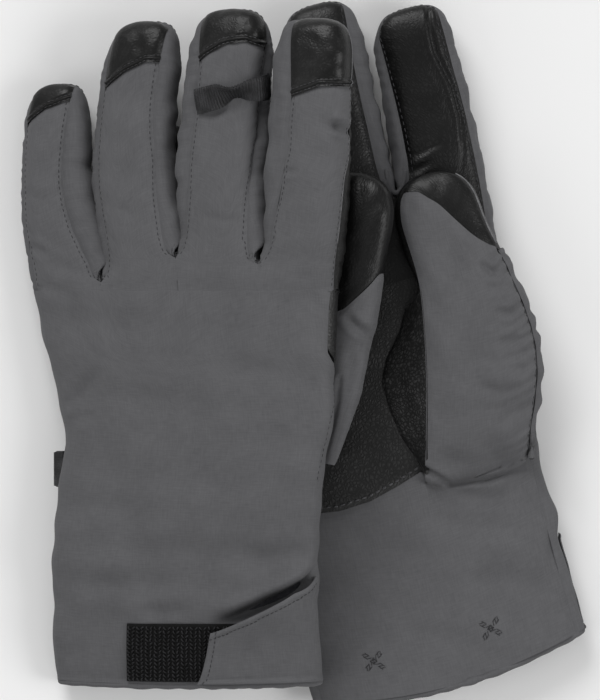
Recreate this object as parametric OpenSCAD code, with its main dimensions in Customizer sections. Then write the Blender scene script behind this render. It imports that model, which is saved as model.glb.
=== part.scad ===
// A pair of insulated five-finger gloves: the left one lies palm down across the right one, which lies
// palm up. Each glove is drawn in its own frame: +Y towards the fingertips, +X towards the thumb, +Z out of
// the back of the hand, with its origin at the middle of the wrist. The right glove is the left one mirrored.

/* [Hand] */
// Length from the wrist to the fold at the knuckles
hand_len = 70; // [60:1:85]
// Width across the wrist
wrist_w = 110; // [95:1:125]
// Thickness at the wrist
wrist_t = 20; // [18:0.5:24]
// Thickness at the knuckles
hand_t = 22; // [20:0.5:26]
// How far the knuckles sit towards the little finger
knuckle_shift = -5; // [-10:0.5:4]

/* [Fingers] */
// Width of the little finger
pinky_w = 29; // [24:0.5:36]
// Width of the ring finger
ring_w = 32; // [26:0.5:38]
// Width of the middle finger
middle_w = 34.5; // [28:0.5:40]
// Width of the index finger
index_w = 34.5; // [28:0.5:40]
// Length of the little finger from its fold
pinky_len = 72; // [55:1:85]
// Length of the ring finger
ring_len = 96; // [75:1:110]
// Length of the middle finger
middle_len = 101; // [80:1:115]
// Length of the index finger
index_len = 96; // [75:1:110]
// Sideways lean of the little finger in degrees
pinky_lean = -2; // [-5:0.5:0]
// Sideways lean of the ring finger
ring_lean = 2.5; // [0:0.5:3.5]
// Sideways lean of the middle finger
middle_lean = 4; // [3.5:0.5:5]
// Sideways lean of the index finger
index_lean = 4; // [3.5:0.5:8]
// Sideways bow of the little finger, outwards at its middle
pinky_bow = -4; // [-6:0.5:-4]
// Sideways bow of the ring finger
ring_bow = -4; // [-4:0.5:-2]
// Sideways bow of the middle finger
middle_bow = -1.5; // [-2:0.5:0]
// Sideways bow of the index finger
index_bow = 1.5; // [0:0.5:4]
// Thickness of the little finger at its fold
pinky_t = 17.5; // [16.5:0.5:18]
// Thickness of the other fingers at their folds
finger_t = 21; // [19:0.5:22]
// Thickness lost by a finger from its fold to its rounded end
finger_taper = 3; // [1:0.5:3]
// Length of the rounded end
finger_dome = 20; // [12:1:26]
// Width lost by a finger from its fold to its rounded end
finger_slim = 5; // [2:0.5:8]
// Length of the leather wrapped over the end of the little finger
pinky_cap = 12; // [9:0.5:16]
// Length of the leather over the end of the ring finger
ring_cap = 18; // [10:0.5:24]
// Length of the leather over the end of the middle finger
middle_cap = 14; // [10:0.5:24]
// Length of the leather over the end of the index finger
index_cap = 28; // [10:0.5:34]

/* [Thumb] */
// Length of the thumb from the wrist crease to its tip
thumb_len = 118; // [105:1:125]
// Greatest width of the thumb
thumb_w = 46; // [38:0.5:48]
// Width of the thumb before its rounded end
thumbtip_w = 34; // [28:0.5:38]
// Thickness of the thumb
thumb_t = 14.5; // [13:0.5:18]
// Thickness of the thumb where it leaves the wrist
thumb_root_t = 8; // [7.5:0.5:10]
// Distance from the middle of the hand to the middle of the thumb at its root
thumb_root_x = 28; // [24:0.5:32]
// Distance from the middle of the hand to the tip of the thumb
thumb_x = 43; // [38:0.5:48]
// Where the thumb starts, behind the wrist
thumb_back = 20; // [12:1:26]
// Length of the open side through which the thumb of the hand goes in
thumb_open = 52; // [46:1:60]
// Length of the rounded end of the thumb
thumb_dome = 20; // [14:1:26]
// Length of the leather wrapped over the end of the thumb
thumb_cap = 20; // [12:1:30]
// How far the left thumb swings out, in degrees
left_thumb_swing = 10; // [0:1:14]
// How far the left thumb is stretched along the hand
left_thumb_slide = 12; // [0:1:16]
// Height by which the left thumb nests into the side of the palm
left_thumb_rise = 0.3; // [0:0.1:1]
// How far the right thumb swells out to its side
right_thumb_bulge = 7.5; // [0:0.5:10]

/* [Cuff] */
// Length from the wrist to the hem
cuff_len = 90; // [78:1:110]
// Width at the hem
hem_w = 106; // [96:1:120]
// Thickness of the left glove at its hem
left_hem_t = 21; // [17:0.5:24]
// Thickness of the right glove at its hem, pressed flat by its own weight
right_hem_t = 13.5; // [13:0.5:14]
// How far the left hem sits towards the little finger
left_hem_shift = -9; // [-12:0.5:-3]
// How far the right hem sits towards the little finger
right_hem_shift = -3; // [-8:0.5:3]
// How far the middle of the left hem dips below its ends
left_hem_dip = 1.5; // [0:0.5:12]
// How far the middle of the right hem dips below its ends
right_hem_dip = 8; // [0:0.5:12]
// Distance from the wrist to the lower edge of the leather palm
palm_drop = 19; // [12:1:28]
// Depth of the binding round the hem
binding_len = 3; // [2:0.5:6]

/* [Closure] */
// Length of the tab from the edge of the back to its free end
tab_len = 38; // [32:1:46]
// How much shorter the tab is along its upper edge
tab_slant = 7; // [0:0.5:10]
// Depth of the tab at its root
tab_root_h = 39; // [30:1:48]
// Depth of the tab at its free end
tab_end_h = 20; // [16:1:30]
// Thickness of the tab
tab_t = 1.6; // [1.2:0.1:1.8]
// Length of the loop pad on the back of the cuff
loop_pad_len = 52; // [45:1:60]
// Depth of the loop pad
loop_pad_h = 22; // [16:0.5:30]
// Distance from the middle of the cuff to the far end of the loop pad
loop_pad_reach = 20; // [14:1:26]
// Thickness of the loop pad
loop_pad_t = 1; // [0.7:0.1:1.2]
// Length of the hook pad under the tab
hook_pad_len = 22; // [16:1:24]
// Depth of the hook pad
hook_pad_h = 15; // [10:0.5:15]
// Thickness of the hook pad
hook_pad_t = 0.6; // [0.4:0.1:0.8]

/* [Trim] */
// Distance from the knuckle fold to the middle of the hang loop
hang_loop_at = 68; // [45:1:74]
// Width of the hang loop's webbing
hang_loop_w = 10; // [6:0.5:14]
// Thickness of the webbing
webbing_t = 1.4; // [1:0.1:2]
// How far the hang loop stands off the left middle finger
hang_loop_arch = 2.4; // [1.5:0.1:4]
// How far the hang loop under the right middle finger stands off it
pressed_loop_arch = 0.3; // [0.2:0.1:0.5]
// Length of the pull tab along the side of the wrist
pull_tab_len = 13; // [8:0.5:18]
// Distance from the wrist to the pull tab
pull_tab_drop = 3; // [1:0.5:12]
// How far the pull tab sticks out
pull_tab_out = 5; // [4:0.5:9]
// Length of one bar of the crossed tacks
tack_len = 11; // [6:0.5:14]
// Width of one bar of the crossed tacks
tack_w = 1.4; // [0.8:0.1:2]
// Height of the crossed tacks
tack_t = 0.6; // [0.4:0.1:1]
// Distance between the two crossed tacks
tack_pitch = 46; // [30:1:60]
// Distance of the crossed tacks from the hem
tack_up = 11; // [8:0.5:24]

/* [Layers] */
// Thickness of the outer cloth
cloth_t = 1.2; // [0.8:0.1:1.6]
// Thickness of the leather
leather_t = 1.2; // [0.8:0.1:1.6]
// Thickness of the insulation round the hand
insulation_t = 2.6; // [1.5:0.1:3.5]
// Thickness of the fleece lining in the hand and cuff
lining_t = 1.6; // [1:0.1:2]
// Thickness of the padded lining in the fingers and thumb
finger_lining_t = 3.2; // [2:0.1:3.6]
// Thickness of the padded lining in the thumb
thumb_lining_t = 2.4; // [1.6:0.1:2.8]

/* [Lay] */
// Tilt of the left glove across the right one in degrees
left_tilt = 22.5; // [22:0.5:24]
// How far the tilt eases off towards the hem of the left cuff
left_cuff_twist = 9; // [4:0.5:12]
// How far the left cuff sags at its hem
left_cuff_droop = 14; // [8:0.5:14]
// How far the left fingers curl towards the palm
left_curl = 1; // [0:0.5:2]
// How far the right middle finger curls towards the palm
right_middle_curl = 2.5; // [2.5:0.5:5]
// How far the right index finger curls towards the palm
right_index_curl = 3; // [0:0.5:6]
// How far the right ring finger is pressed towards the back
right_ring_press = 1; // [0:0.1:1]
// How far the right little finger is tucked against the ring finger
right_pinky_tuck = 2; // [0:0.1:2.2]
// How far the right little finger is pressed towards the back
right_pinky_press = 2.4; // [1:0.1:2.5]
// Place of the left wrist on the table, to the right
left_x = -40.4; // [-50:0.1:-30]
// Place of the left wrist on the table, upwards
left_y = -36; // [-50:0.1:-20]
// Turn of the right glove in degrees
right_turn = 15; // [8:0.5:20]
// Place of the right wrist on the table, to the right
right_x = 35.6; // [30:0.1:45]
// Place of the right wrist on the table, upwards
right_y = -35; // [-45:0.1:-25]
// Gap between the gloves where one rests on the other
rest_gap = 0.4; // [0.2:0.1:2]

/* [Hidden] */
// Gap along a seam between two pieces of one glove
seam = 0.5;
// Gap between layers, and between a pad and what carries it
ply = 0.2;
// Gap where a piece folds against another
fold_gap = 0.6;
// Gap between the thumb and the level of the palm on which it lies, which falls away to the side
thumb_seat = -0.15;
// How far the back is pressed flat where the glove lies on it
rest_flat = 0.3;
// Squareness of the cross-sections, and where their corners are as a share of the half width
square = 3;
corner = 0.82;
// Where the jointed part of the right index finger starts, as a share of its length
bend_at = 0.5;
// Places along a rounded end at which its cross-sections are drawn
dome_steps = [0, 0.42, 0.74, 0.94];
// Lay of a glove before it is placed: straight fingers and a flat cuff
$curl = [0, 0, 0, 0];
$tuck = 0;
$arch = 0;
$shift = 0;
$hem = right_hem_t;
$twist = 0;
$droop = 0;
$dip = 0;
$bulge = 0;
// Sides of a cross-section: back, little-finger side, palm and thumb side start at these numbers
BACK = 0;
OUTER = 1;
PALM = 2;
INNER = 3;

finger_w = [pinky_w, ring_w, middle_w, index_w];
finger_len = [pinky_len, ring_len, middle_len, index_len];
finger_lean = [pinky_lean, ring_lean, middle_lean, index_lean];
finger_cap = [pinky_cap, ring_cap, middle_cap, index_cap];
PINKY = 0;
RING = 1;
MIDDLE = 2;
INDEX = 3;

finger_bow = [pinky_bow, ring_bow, middle_bow, index_bow];
knuckle_w = pinky_w + ring_w + middle_w + index_w;
lining_d = cloth_t + ply + insulation_t + ply;
cuff_lining_d = cloth_t + ply;
finger_lining_d = cloth_t + ply;
palm_level = hand_t / 2 + ply;
right_z = hand_t / 2 - rest_flat;
right_top = right_z + palm_level;
// Heights of the left glove at which its thumb rests on the right palm and its little finger on the table
thumb_rest = right_top + rest_gap - min([for (s = thumb_stations()) for (t = spread(OUTER, INNER + 1, 14))
    tilted(swung(on(thumb(s, 0), t)))]);
pinky_rest = -min([for (s = finger_stations(PINKY)) for (t = spread(OUTER, INNER, 10))
    tilted(on(finger(PINKY, s, 0), t) - [0, 0, left_curl * pow(s, 2)])]);
// Height at which its fingers rest on the little finger of the right glove
finger_rest = rest_gap + (finger_t - finger_taper * 0.4) / 2 / cos(left_tilt)
    + max([for (s = finger_stations(PINKY)) for (t = spread(OUTER + 0.5, INNER + 0.5, 10))
        over_left(on(finger(PINKY, s, 0), t) + right_lay(s))]);
left_z = max(thumb_rest, pinky_rest, finger_rest);

// Numbers and curves
function mix(a, b, f) = a + (b - a) * f;
function ease(f) = f * f * (3 - 2 * f);
function spread(a, b, n) = [for (i = [0 : n]) mix(a, b, i / n)];
function between(list, a, b) = concat([a], [for (v = list) if (v > a + 0.005 && v < b - 0.005) v], [b]);
function total(list, count) = count == 0 ? 0 : list[count - 1] + total(list, count - 1);
function dome(q) = pow(1 - pow(q, 2.5), 0.4);

// Cross-section of a limb of half width hw and half height hh: a rounded box walked from 0 to 4, one per side
function rim(u) = pow(1 - pow(abs(u), square), 1 / square);
function polar(a, hw, hh) =
    let (r = pow(pow(abs(cos(a)) / hw, square) + pow(abs(sin(a)) / hh, square), -1 / square))
    [r * cos(a), r * sin(a)];
function section(t, hw, hh) =
    let (k = floor(t) % 4, f = t - floor(t), edge = atan2(hh * rim(corner), hw * corner))
    k == BACK ? let (u = mix(corner, -corner, f)) [hw * u, hh * rim(u)]
    : k == OUTER ? polar(mix(180 - edge, 180 + edge, f), hw, hh)
    : k == PALM ? let (u = mix(-corner, corner, f)) [hw * u, -hh * rim(u)]
    : polar(mix(-edge, edge, f), hw, hh);

// Side number of the point x away from the middle of the back, or of the palm
function back_side(x, hw) = BACK + (corner - x / hw) / (2 * corner);
function palm_side(x, hw) = PALM + (corner + x / hw) / (2 * corner);

// Limbs. Each gives the middle, half width and half height of a cross-section, d below the outer surface,
// then the greatest height of its back and its roll. The trunk runs from the hem at -1 through the wrist at 0
// to the knuckles at 1. The lay of each glove is in $curl, $tuck, $arch, $shift, $hem, $twist, $droop,
// $dip and $bulge.
function trunk(s, d) =
    s >= 0
    ? [[knuckle_shift * ease(s), s * hand_len, 0],
       mix(wrist_w, knuckle_w, s) / 2 - d, mix(wrist_t, hand_t, ease(s)) / 2 - d, right_z - d, 0]
    : let (f = min(1, -s))
      [[$shift * (1 - pow(1 - f, 2)), s * cuff_len, -$droop * pow(f, 2)],
       mix(wrist_w, hem_w, f) / 2 - d, mix(wrist_t, $hem, 1 - pow(1 - f, 2)) / 2 - d, right_z - d,
       -$twist * ease(f), $dip * pow(f, 2)];

function lane_mid(i) = knuckle_shift - knuckle_w / 2 + total(finger_w, i) + finger_w[i] / 2;
function dome_start(i) = 1 - finger_dome / finger_len[i];
function finger(i, s, d) =
    let (
        start = dome_start(i),
        q = max(0, (s - start) / (1 - start)),
        far = s <= start ? s * finger_len[i] : start * finger_len[i] + q * (finger_dome - d),
        hw = finger_w[i] / 2 - seam / 2 - finger_slim / 2 * ease(min(1, s / start)) - d,
        hh = (i == PINKY ? pinky_t : finger_t) / 2 - finger_taper / 2 * s - d,
        curl = $curl[i],
        tuck = i == PINKY ? $tuck : 0
    )
    [[lane_mid(i) + far * tan(finger_lean[i]) + finger_bow[i] * 4 * s * (1 - s) + tuck * min(1, 2 * s),
      hand_len + fold_gap + far, -curl * pow(s, 2)],
     hw * dome(q), hh * dome(q), hand_t, 0];

function thumb_dome_start() = 1 - thumb_dome / thumb_len;
function thumb(s, d) =
    let (
        start = thumb_dome_start(),
        q = max(0, (s - start) / (1 - start)),
        far = s <= start ? s * thumb_len : start * thumb_len + q * (thumb_dome - d),
        swell = $bulge / 2 * pow(sin(180 * pow(s, 0.7)), 3),
        hw = mix(thumb_w, thumbtip_w, ease(min(1, s / start))) / 2 + swell - d,
        full = mix(thumb_root_t, thumb_t, ease(min(1, s / (thumb_open / thumb_len)))) / 2,
        hh = full - d
    )
    [[mix(thumb_root_x, thumb_x, 1 - pow(1 - s, 2)) + swell, far - thumb_back,
      -palm_at(far - thumb_back) - full],
     hw * dome(q), hh * dome(q), hand_t, 0];
// Level of the palm under the thumb, y from the wrist
function palm_at(y) = mix(wrist_t, hand_t, ease(max(0, min(1, y / hand_len)))) / 2 + thumb_seat;
// Edge of the thumb over the palm, y from the wrist
function thumb_edge(y) =
    let (s = max(0, min(thumb_open, y + thumb_back)) / thumb_len, frame = thumb(s, 0))
    frame[0].x - frame[1] * corner;

// A point of a limb's surface; the back is never higher than the level on which the glove lies
function on(frame, t) =
    let (
        p = section(t, frame[1], frame[2]),
        z = min(p.y, frame[3]),
        dip = len(frame) > 5 ? frame[5] * (1 - pow(p.x / frame[1], 2)) : 0
    )
    frame[0] + [p.x * cos(frame[4]) - z * sin(frame[4]), -dip, p.x * sin(frame[4]) + z * cos(frame[4])];
function patch(limb, stations, sides, d) = [for (s = stations) [for (t = sides) on(limb(s, d), t)]];
// A point of the left thumb swung out about its root, and the height of a point in the tilt of the left glove
function swung(p) =
    let (x = p.x - thumb_root_x, y = p.y + thumb_back)
    [thumb_root_x + x * cos(left_thumb_swing) + y * sin(left_thumb_swing),
     left_thumb_slide - thumb_back - x * sin(left_thumb_swing) + y * cos(left_thumb_swing),
     p.z + left_thumb_rise];
function tilted(p) = p.x * sin(left_tilt) + p.z * cos(left_tilt);
// Shift of the right little finger, s along it, by its tuck and press
function right_lay(s) = [right_pinky_tuck * min(1, 2 * s), 0, right_pinky_press * pow(s, 2)];
// Height of a point of the right glove over the tilted middle plane of the left one
function over_left(p) =
    right_z - p.z - (right_x + p.x * cos(right_turn) - p.y * sin(right_turn) - left_x) * tan(left_tilt);

// Lists of stations along the limbs and of sides round them
function finger_stations(i) =
    concat([for (f = [0, 1 / 3, 2 / 3]) f * dome_start(i)], [for (q = dome_steps) mix(dome_start(i), 1, q)]);
function thumb_stations() =
    let (open_end = thumb_open / thumb_len, start = thumb_dome_start())
    concat([0, open_end / 3, open_end * 2 / 3, open_end, mix(open_end, start, 0.5)],
        [for (q = dome_steps) mix(start, 1, q)]);
function last(list) = list[len(list) - 1];
function hand_s(y) = y / hand_len;
function cuff_s(y) = y / cuff_len;
function side_gap(width) = seam / 2 / width;

// Closed solid between an outer and an inner grid of points
module slab(outer, inner) {
    rows = len(outer);
    cols = len(outer[0]);
    under = rows * cols;
    points = concat([for (row = outer) for (p = row) p], [for (row = inner) for (p = row) p]);
    function at(r, c) = r * cols + c;
    skin = [for (r = [0 : rows - 2]) for (c = [0 : cols - 2])
        for (f = [[at(r, c), at(r, c + 1), at(r + 1, c + 1)], [at(r, c), at(r + 1, c + 1), at(r + 1, c)]]) f];
    edge = concat(
        [for (c = [0 : cols - 2]) [at(0, c + 1), at(0, c)]],
        [for (c = [0 : cols - 2]) [at(rows - 1, c), at(rows - 1, c + 1)]],
        [for (r = [0 : rows - 2]) [at(r, 0), at(r + 1, 0)]],
        [for (r = [0 : rows - 2]) [at(r + 1, cols - 1), at(r, cols - 1)]]);
    polyhedron(points, concat(
        skin,
        [for (f = skin) [f[0] + under, f[2] + under, f[1] + under]],
        [for (e = edge) for (f = [[e[0], e[1], e[1] + under], [e[0], e[1] + under, e[0] + under]]) f]));
}

// Closed tube wall between an outer and an inner stack of rings, shut at its far end if blind
module tube(outer, inner, blind = false) {
    rows = len(outer);
    cols = len(outer[0]);
    under = rows * cols;
    points = concat([for (row = outer) for (p = row) p], [for (row = inner) for (p = row) p]);
    function at(r, c) = r * cols + c % cols;
    skin = [for (r = [0 : rows - 2]) for (c = [0 : cols - 1])
        for (f = [[at(r, c), at(r, c + 1), at(r + 1, c + 1)], [at(r, c), at(r + 1, c + 1), at(r + 1, c)]]) f];
    cap = blind ? [for (c = [1 : cols - 2]) [at(rows - 1, 0), at(rows - 1, c), at(rows - 1, c + 1)]] : [];
    edge = concat(
        [for (c = [0 : cols - 1]) [at(0, c + 1), at(0, c)]],
        blind ? [] : [for (c = [0 : cols - 1]) [at(rows - 1, c), at(rows - 1, c + 1)]]);
    polyhedron(points, concat(
        skin, cap,
        [for (f = concat(skin, cap)) [f[0] + under, f[2] + under, f[1] + under]],
        [for (e = edge) for (f = [[e[0], e[1], e[1] + under], [e[0], e[1] + under, e[0] + under]]) f]));
}

// Wall of a limb over some stations and sides, from depth d0 to depth d1
module wall(limb, stations, sides, d0, d1) {
    slab(patch(limb, stations, sides, d0), patch(limb, stations, sides, d1));
}

// Sides of one panel, kept clear of its neighbours by half a seam
function panel_sides(side, width, n) = spread(side + side_gap(width), side + 1 - side_gap(width), n);
// Sides of a whole ring
function ring_sides(n) = [for (k = [0 : 3]) for (i = [0 : n - 1]) k + i / n];

// Colours
module cloth() { color([0.345, 0.345, 0.353]) children(); }
module leather() { color([0.11, 0.11, 0.11]) children(); }
module webbing() { color([0.13, 0.13, 0.13]) children(); }
module fleece() { color([0.2, 0.2, 0.21]) children(); }
module wadding() { color([0.85, 0.85, 0.83]) children(); }

// Stations of the trunk from the hem to the knuckles
function trunk_stations() = concat(spread(-1, 0, 4), spread(0.2, 1, 4));

// Back of the glove in one piece, from the hem to the knuckles
module back_panel() cloth()
    wall(function(s, d) trunk(s, d), trunk_stations(), panel_sides(BACK, wrist_w, 10), 0, cloth_t);

// Sides of the palm up to the edge of the thumb, and from there to the thumb side
function palm_main(s, n) =
    let (edge = palm_side(thumb_edge(s < 0 ? s * cuff_len : s * hand_len) - trunk(s, 0)[0].x, trunk(s, 0)[1]))
    spread(PALM + side_gap(wrist_w), edge - side_gap(wrist_w), n);
function palm_corner(s, n) =
    let (edge = palm_side(thumb_edge(s < 0 ? s * cuff_len : s * hand_len) - trunk(s, 0)[0].x, trunk(s, 0)[1]))
    spread(edge + side_gap(wrist_w), PALM + 1 - side_gap(wrist_w), n);
function web_s() = hand_s(thumb_open - thumb_back);
module palm_wall(stations, sides, d0, d1) {
    slab([for (s = stations) [for (t = sides(s)) on(trunk(s, d0), t)]],
        [for (s = stations) [for (t = sides(s)) on(trunk(s, d1), t)]]);
}

// Leather palm, with an open corner where the thumb goes in, closed above it by the web
module palm_panel() leather() {
    palm_wall(between(trunk_stations(), -cuff_s(palm_drop), 1), function(s) palm_main(s, 8), 0, leather_t);
    palm_wall(between(trunk_stations(), web_s(), 1), function(s) palm_corner(s, 4), 0, leather_t);
}

// Cloth strips along both edges, from the hem to the knuckles
module side_gussets() cloth() for (side = [OUTER, INNER])
    wall(function(s, d) trunk(s, d), trunk_stations(), panel_sides(side, wrist_t, 4), 0, cloth_t);

module cuff_palm() cloth()
    wall(function(s, d) trunk(s, d), between(trunk_stations(), -1, -cuff_s(palm_drop + seam)),
        panel_sides(PALM, wrist_w, 10), 0, cloth_t);

// Layer inside the hand, open where the thumb goes in; its depth is given for the cuff and for the hand
module hand_layer(stations, d0, d1) {
    round_hand = concat(spread(INNER, INNER + 0.75, 3), spread(4, 4.9, 9), spread(5, 5.75, 3));
    depth = function(s, d) s < 0 ? d[0] : d[1];
    rows = function(d) [for (s = stations)
        [for (t = concat(round_hand, [for (t = palm_main(s, 6)) t + 4])) on(trunk(s, depth(s, d)), t)]];
    slab(rows(d0), rows(d1));
    palm_wall(between(stations, web_s(), last(stations)), function(s) palm_corner(s, 3), d0[1], d1[1]);
    if (stations[0] < 0)
        palm_wall(between(stations, stations[0], -cuff_s(palm_drop)), function(s) palm_corner(s, 3),
            d0[0], d1[0]);
}

// Wadding between the outer cloth and the lining, round the hand only
module insulation() wadding()
    hand_layer(between(trunk_stations(), hand_s(2), 1 - hand_s(seam)), [cloth_t + ply, cloth_t + ply],
        [cloth_t + ply + insulation_t, cloth_t + ply + insulation_t]);

// Fleece lining from the hem to the knuckles, under the cloth in the cuff and under the wadding in the hand
module lining() fleece()
    hand_layer(trunk_stations(), [cuff_lining_d, lining_d], [cuff_lining_d + lining_t, lining_d + lining_t]);

// Binding that closes the hem, from the outer cloth to the lining
module hem_binding() {
    hem = function(s, d)
        let (end = trunk(-1, d))
        [end[0] - [0, s, 0], end[1], end[2], end[3], end[4], end[5]];
    depth = cuff_lining_d + lining_t;
    rows = [binding_len, ply];
    cloth() tube(patch(hem, rows, ring_sides(6), 0), patch(hem, rows, ring_sides(6), depth));
}

// Piece of cloth or webbing on the back of the cuff, from y0 to y1 and x0 to x1, between two heights over it
module back_patch(y0, y1, x0, x1, low, high, n) {
    stations = spread(-cuff_s(y0), -cuff_s(y1), 2);
    sides = [for (x = spread(x1, x0, n)) back_side(x, hem_w / 2)];
    wall(function(s, d) trunk(s, d), stations, sides, -high, -low);
}

// Loop pad along the hem
module loop_pad() webbing()
    back_patch(cuff_len - 1, cuff_len - 1 - loop_pad_h, -loop_pad_reach, loop_pad_len - loop_pad_reach,
        ply, ply + loop_pad_t, 8);

// Outline of the tab: its root is on the thumb side, its upper edge runs down to the free end
function tab_root() = hem_w / 2 * corner;
function tab_turn() = 0.2;
function tab_top(f) = cuff_len - mix(tab_root_h, tab_end_h, pow(f, 0.8));
// Side number f along the tab, v up it
function tab_side(f, v) =
    f < tab_turn() ? mix(INNER + 0.55, INNER + 1, f / tab_turn())
    : 4 + back_side(tab_root() - (f - tab_turn()) / (1 - tab_turn()) * (tab_len - tab_slant * v), hem_w / 2);
// How far the underside of the tab stands off the cuff, f along it from the root
function tab_lift(f) = mix(2 * ply, ply + loop_pad_t + ply + hook_pad_t + ply, ease(min(1, f / 0.45)));
function tab_grid(extra) = [for (v = spread(0, 1, 4)) [for (f = concat([0, 0.1], spread(0.2, 1, 8)))
    on(trunk(-cuff_s(mix(cuff_len, tab_top(f), v)), -tab_lift(f) - extra), tab_side(f, v))]];

// Tab that closes the cuff over the back
module cuff_tab() cloth() slab(tab_grid(tab_t), tab_grid(0));

// Hook pad under the free end of the tab
module hook_pad() {
    near = tab_root() - tab_len + tab_slant + 1;
    low = ply + loop_pad_t + ply;
    low_edge = cuff_len - 2;
    top_edge = low_edge - hook_pad_h;
    webbing() back_patch(low_edge, top_edge, near, near + hook_pad_len, low, low + hook_pad_t, 4);
}

// Webbing loop sewn across the middle finger from seam to seam, standing off it in the middle
module hang_loop() {
    middle = hang_loop_at / middle_len;
    half = hang_loop_w / 2 / middle_len;
    sides = spread(BACK + 0.02, BACK + 0.98, 10);
    stand = function(t) ply + $arch * sin(180 * t);
    sheet = function(extra) [for (s = spread(middle - half, middle + half, 2)) [for (t = sides)
        on(finger(MIDDLE, s + (0.5 - t) * half, -stand(t) - extra), t)]];
    webbing() slab(sheet(webbing_t), sheet(0));
}

// Folded webbing at the little-finger side of the wrist
module pull_tab() {
    low = trunk(-cuff_s(pull_tab_drop + pull_tab_len), 0);
    high = trunk(-cuff_s(pull_tab_drop), 0);
    fold = 2 * webbing_t + ply;
    edge = min(low[0].x - low[1], high[0].x - high[1]) - ply;
    webbing() translate([edge, -pull_tab_drop, (low[0].z + high[0].z) / 2]) rotate([90, 0, 0])
        linear_extrude(pull_tab_len) difference() {
            union() {
                translate([-pull_tab_out + fold / 2, -fold / 2]) square([pull_tab_out - fold / 2, fold]);
                translate([-pull_tab_out + fold / 2, 0]) circle(d = fold, $fn = 32);
            }
            translate([-pull_tab_out + fold / 2, -ply / 2]) square([pull_tab_out, ply]);
        }
}

// Two crossed tacks on the palm side of the cuff
module crossed_tacks() {
    row = trunk(-cuff_s(cuff_len - tack_up), 0);
    next = trunk(-cuff_s(cuff_len - tack_up - 1), 0);
    slope = atan2(next[0].z - next[2] - row[0].z + row[2], 1);
    webbing() translate(row[0]) rotate([slope, -row[4], 0])
        for (x = [-tack_pitch / 2, tack_pitch / 2]) translate([x, 0, -row[2] - ply - tack_t])
            linear_extrude(tack_t) for (turn = [40, -40])
                rotate(turn) square([tack_len, tack_w], center = true);
}

// Fingers, each from station a to station b
module finger_back(i, a, b) {
    end = min(b, 1 - finger_cap[i] / finger_len[i]);
    stations = between(finger_stations(i), a, end - seam / 2 / finger_len[i]);
    cloth() wall(function(s, d) finger(i, s, d), stations, panel_sides(BACK, finger_w[i], 6), 0, cloth_t);
}

// Leather along the palm side of a finger, and the end of it that is wrapped over the fingertip
module finger_leather(i, a, b) {
    limb = function(s, d) finger(i, s, d);
    tip = last(finger_stations(i));
    leather() {
        wall(limb, between(finger_stations(i), a, min(b, tip)), panel_sides(PALM, finger_w[i], 6),
            0, leather_t);
        if (b == 1)
            wall(limb, between(finger_stations(i), 1 - (finger_cap[i] - seam / 2) / finger_len[i], tip),
                panel_sides(BACK, finger_w[i], 6), 0, leather_t);
    }
}

// Cloth side walls of a finger
module finger_fourchettes(i, a, b) cloth() for (side = [OUTER, INNER])
    wall(function(s, d) finger(i, s, d), between(finger_stations(i), a, min(b, last(finger_stations(i)))),
        panel_sides(side, finger_t, 4), 0, cloth_t);

module finger_lining(i, a, b) {
    limb = function(s, d) finger(i, s, d);
    stations = between(finger_stations(i), a, min(b, last(finger_stations(i))));
    fleece() tube(patch(limb, stations, ring_sides(4), finger_lining_d),
        patch(limb, stations, ring_sides(4), finger_lining_d + finger_lining_t), b == 1);
}

// Thumb. Its cloth side is turned away from the palm, and its leather side faces the palm
module thumb_back_cloth() {
    end = 1 - thumb_cap / thumb_len;
    cloth() wall(function(s, d) thumb(s, d), between(thumb_stations(), 0, end - seam / 2 / thumb_len),
        panel_sides(PALM, thumb_w, 6), 0, cloth_t);
}

// Pad of the thumb, its side over the palm, and the end that is wrapped over the tip
module thumb_leather() {
    limb = function(s, d) thumb(s, d);
    tip = last(thumb_stations());
    leather() {
        wall(limb, between(thumb_stations(), thumb_open / thumb_len, tip),
            panel_sides(BACK, thumb_w, 6), 0, leather_t);
        wall(limb, between(thumb_stations(), 0, tip), panel_sides(OUTER, thumb_t, 4), 0, leather_t);
        wall(limb, between(thumb_stations(), 1 - (thumb_cap - seam / 2) / thumb_len, tip),
            panel_sides(PALM, thumb_w, 6), 0, leather_t);
    }
}

module thumb_side() cloth()
    wall(function(s, d) thumb(s, d), between(thumb_stations(), 0, last(thumb_stations())),
        panel_sides(INNER, thumb_t, 4), 0, cloth_t);

// Lining of the thumb: open towards the palm at its root, closed round from there on
module thumb_lining() {
    limb = function(s, d) thumb(s, d);
    open_end = thumb_open / thumb_len;
    closed = between(thumb_stations(), open_end + seam / thumb_len, last(thumb_stations()));
    d0 = cloth_t + ply;
    d1 = d0 + thumb_lining_t;
    cup = concat(spread(OUTER + 0.25, OUTER + 0.75, 2), spread(PALM, INNER - 1 / 6, 5),
        spread(INNER, INNER + 0.75, 3));
    fleece() {
        wall(limb, between(thumb_stations(), 0.05, open_end), cup, d0, d0 + lining_t);
        tube(patch(limb, closed, thumb_ring(), d0), patch(limb, closed, thumb_ring(), d1), true);
    }
}
function thumb_ring() =
    concat(spread(0, 5 / 6, 5), spread(1, 1.75, 3), spread(2, 2 + 5 / 6, 5), spread(3, 3.75, 3));

// The fingers of the right glove up to the bend of its index finger
function fixed() = [[PINKY, 1], [RING, 1], [MIDDLE, 1], [INDEX, bend_at - fold_gap / index_len]];
module finger_backs() { for (f = fixed()) finger_back(f[0], 0, f[1]); }
module finger_leathers() { for (f = fixed()) finger_leather(f[0], 0, f[1]); }
module finger_fourchettes_all() { for (f = fixed()) finger_fourchettes(f[0], 0, f[1]); }
module finger_linings() { for (f = fixed()) finger_lining(f[0], 0, f[1]); }

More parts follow.
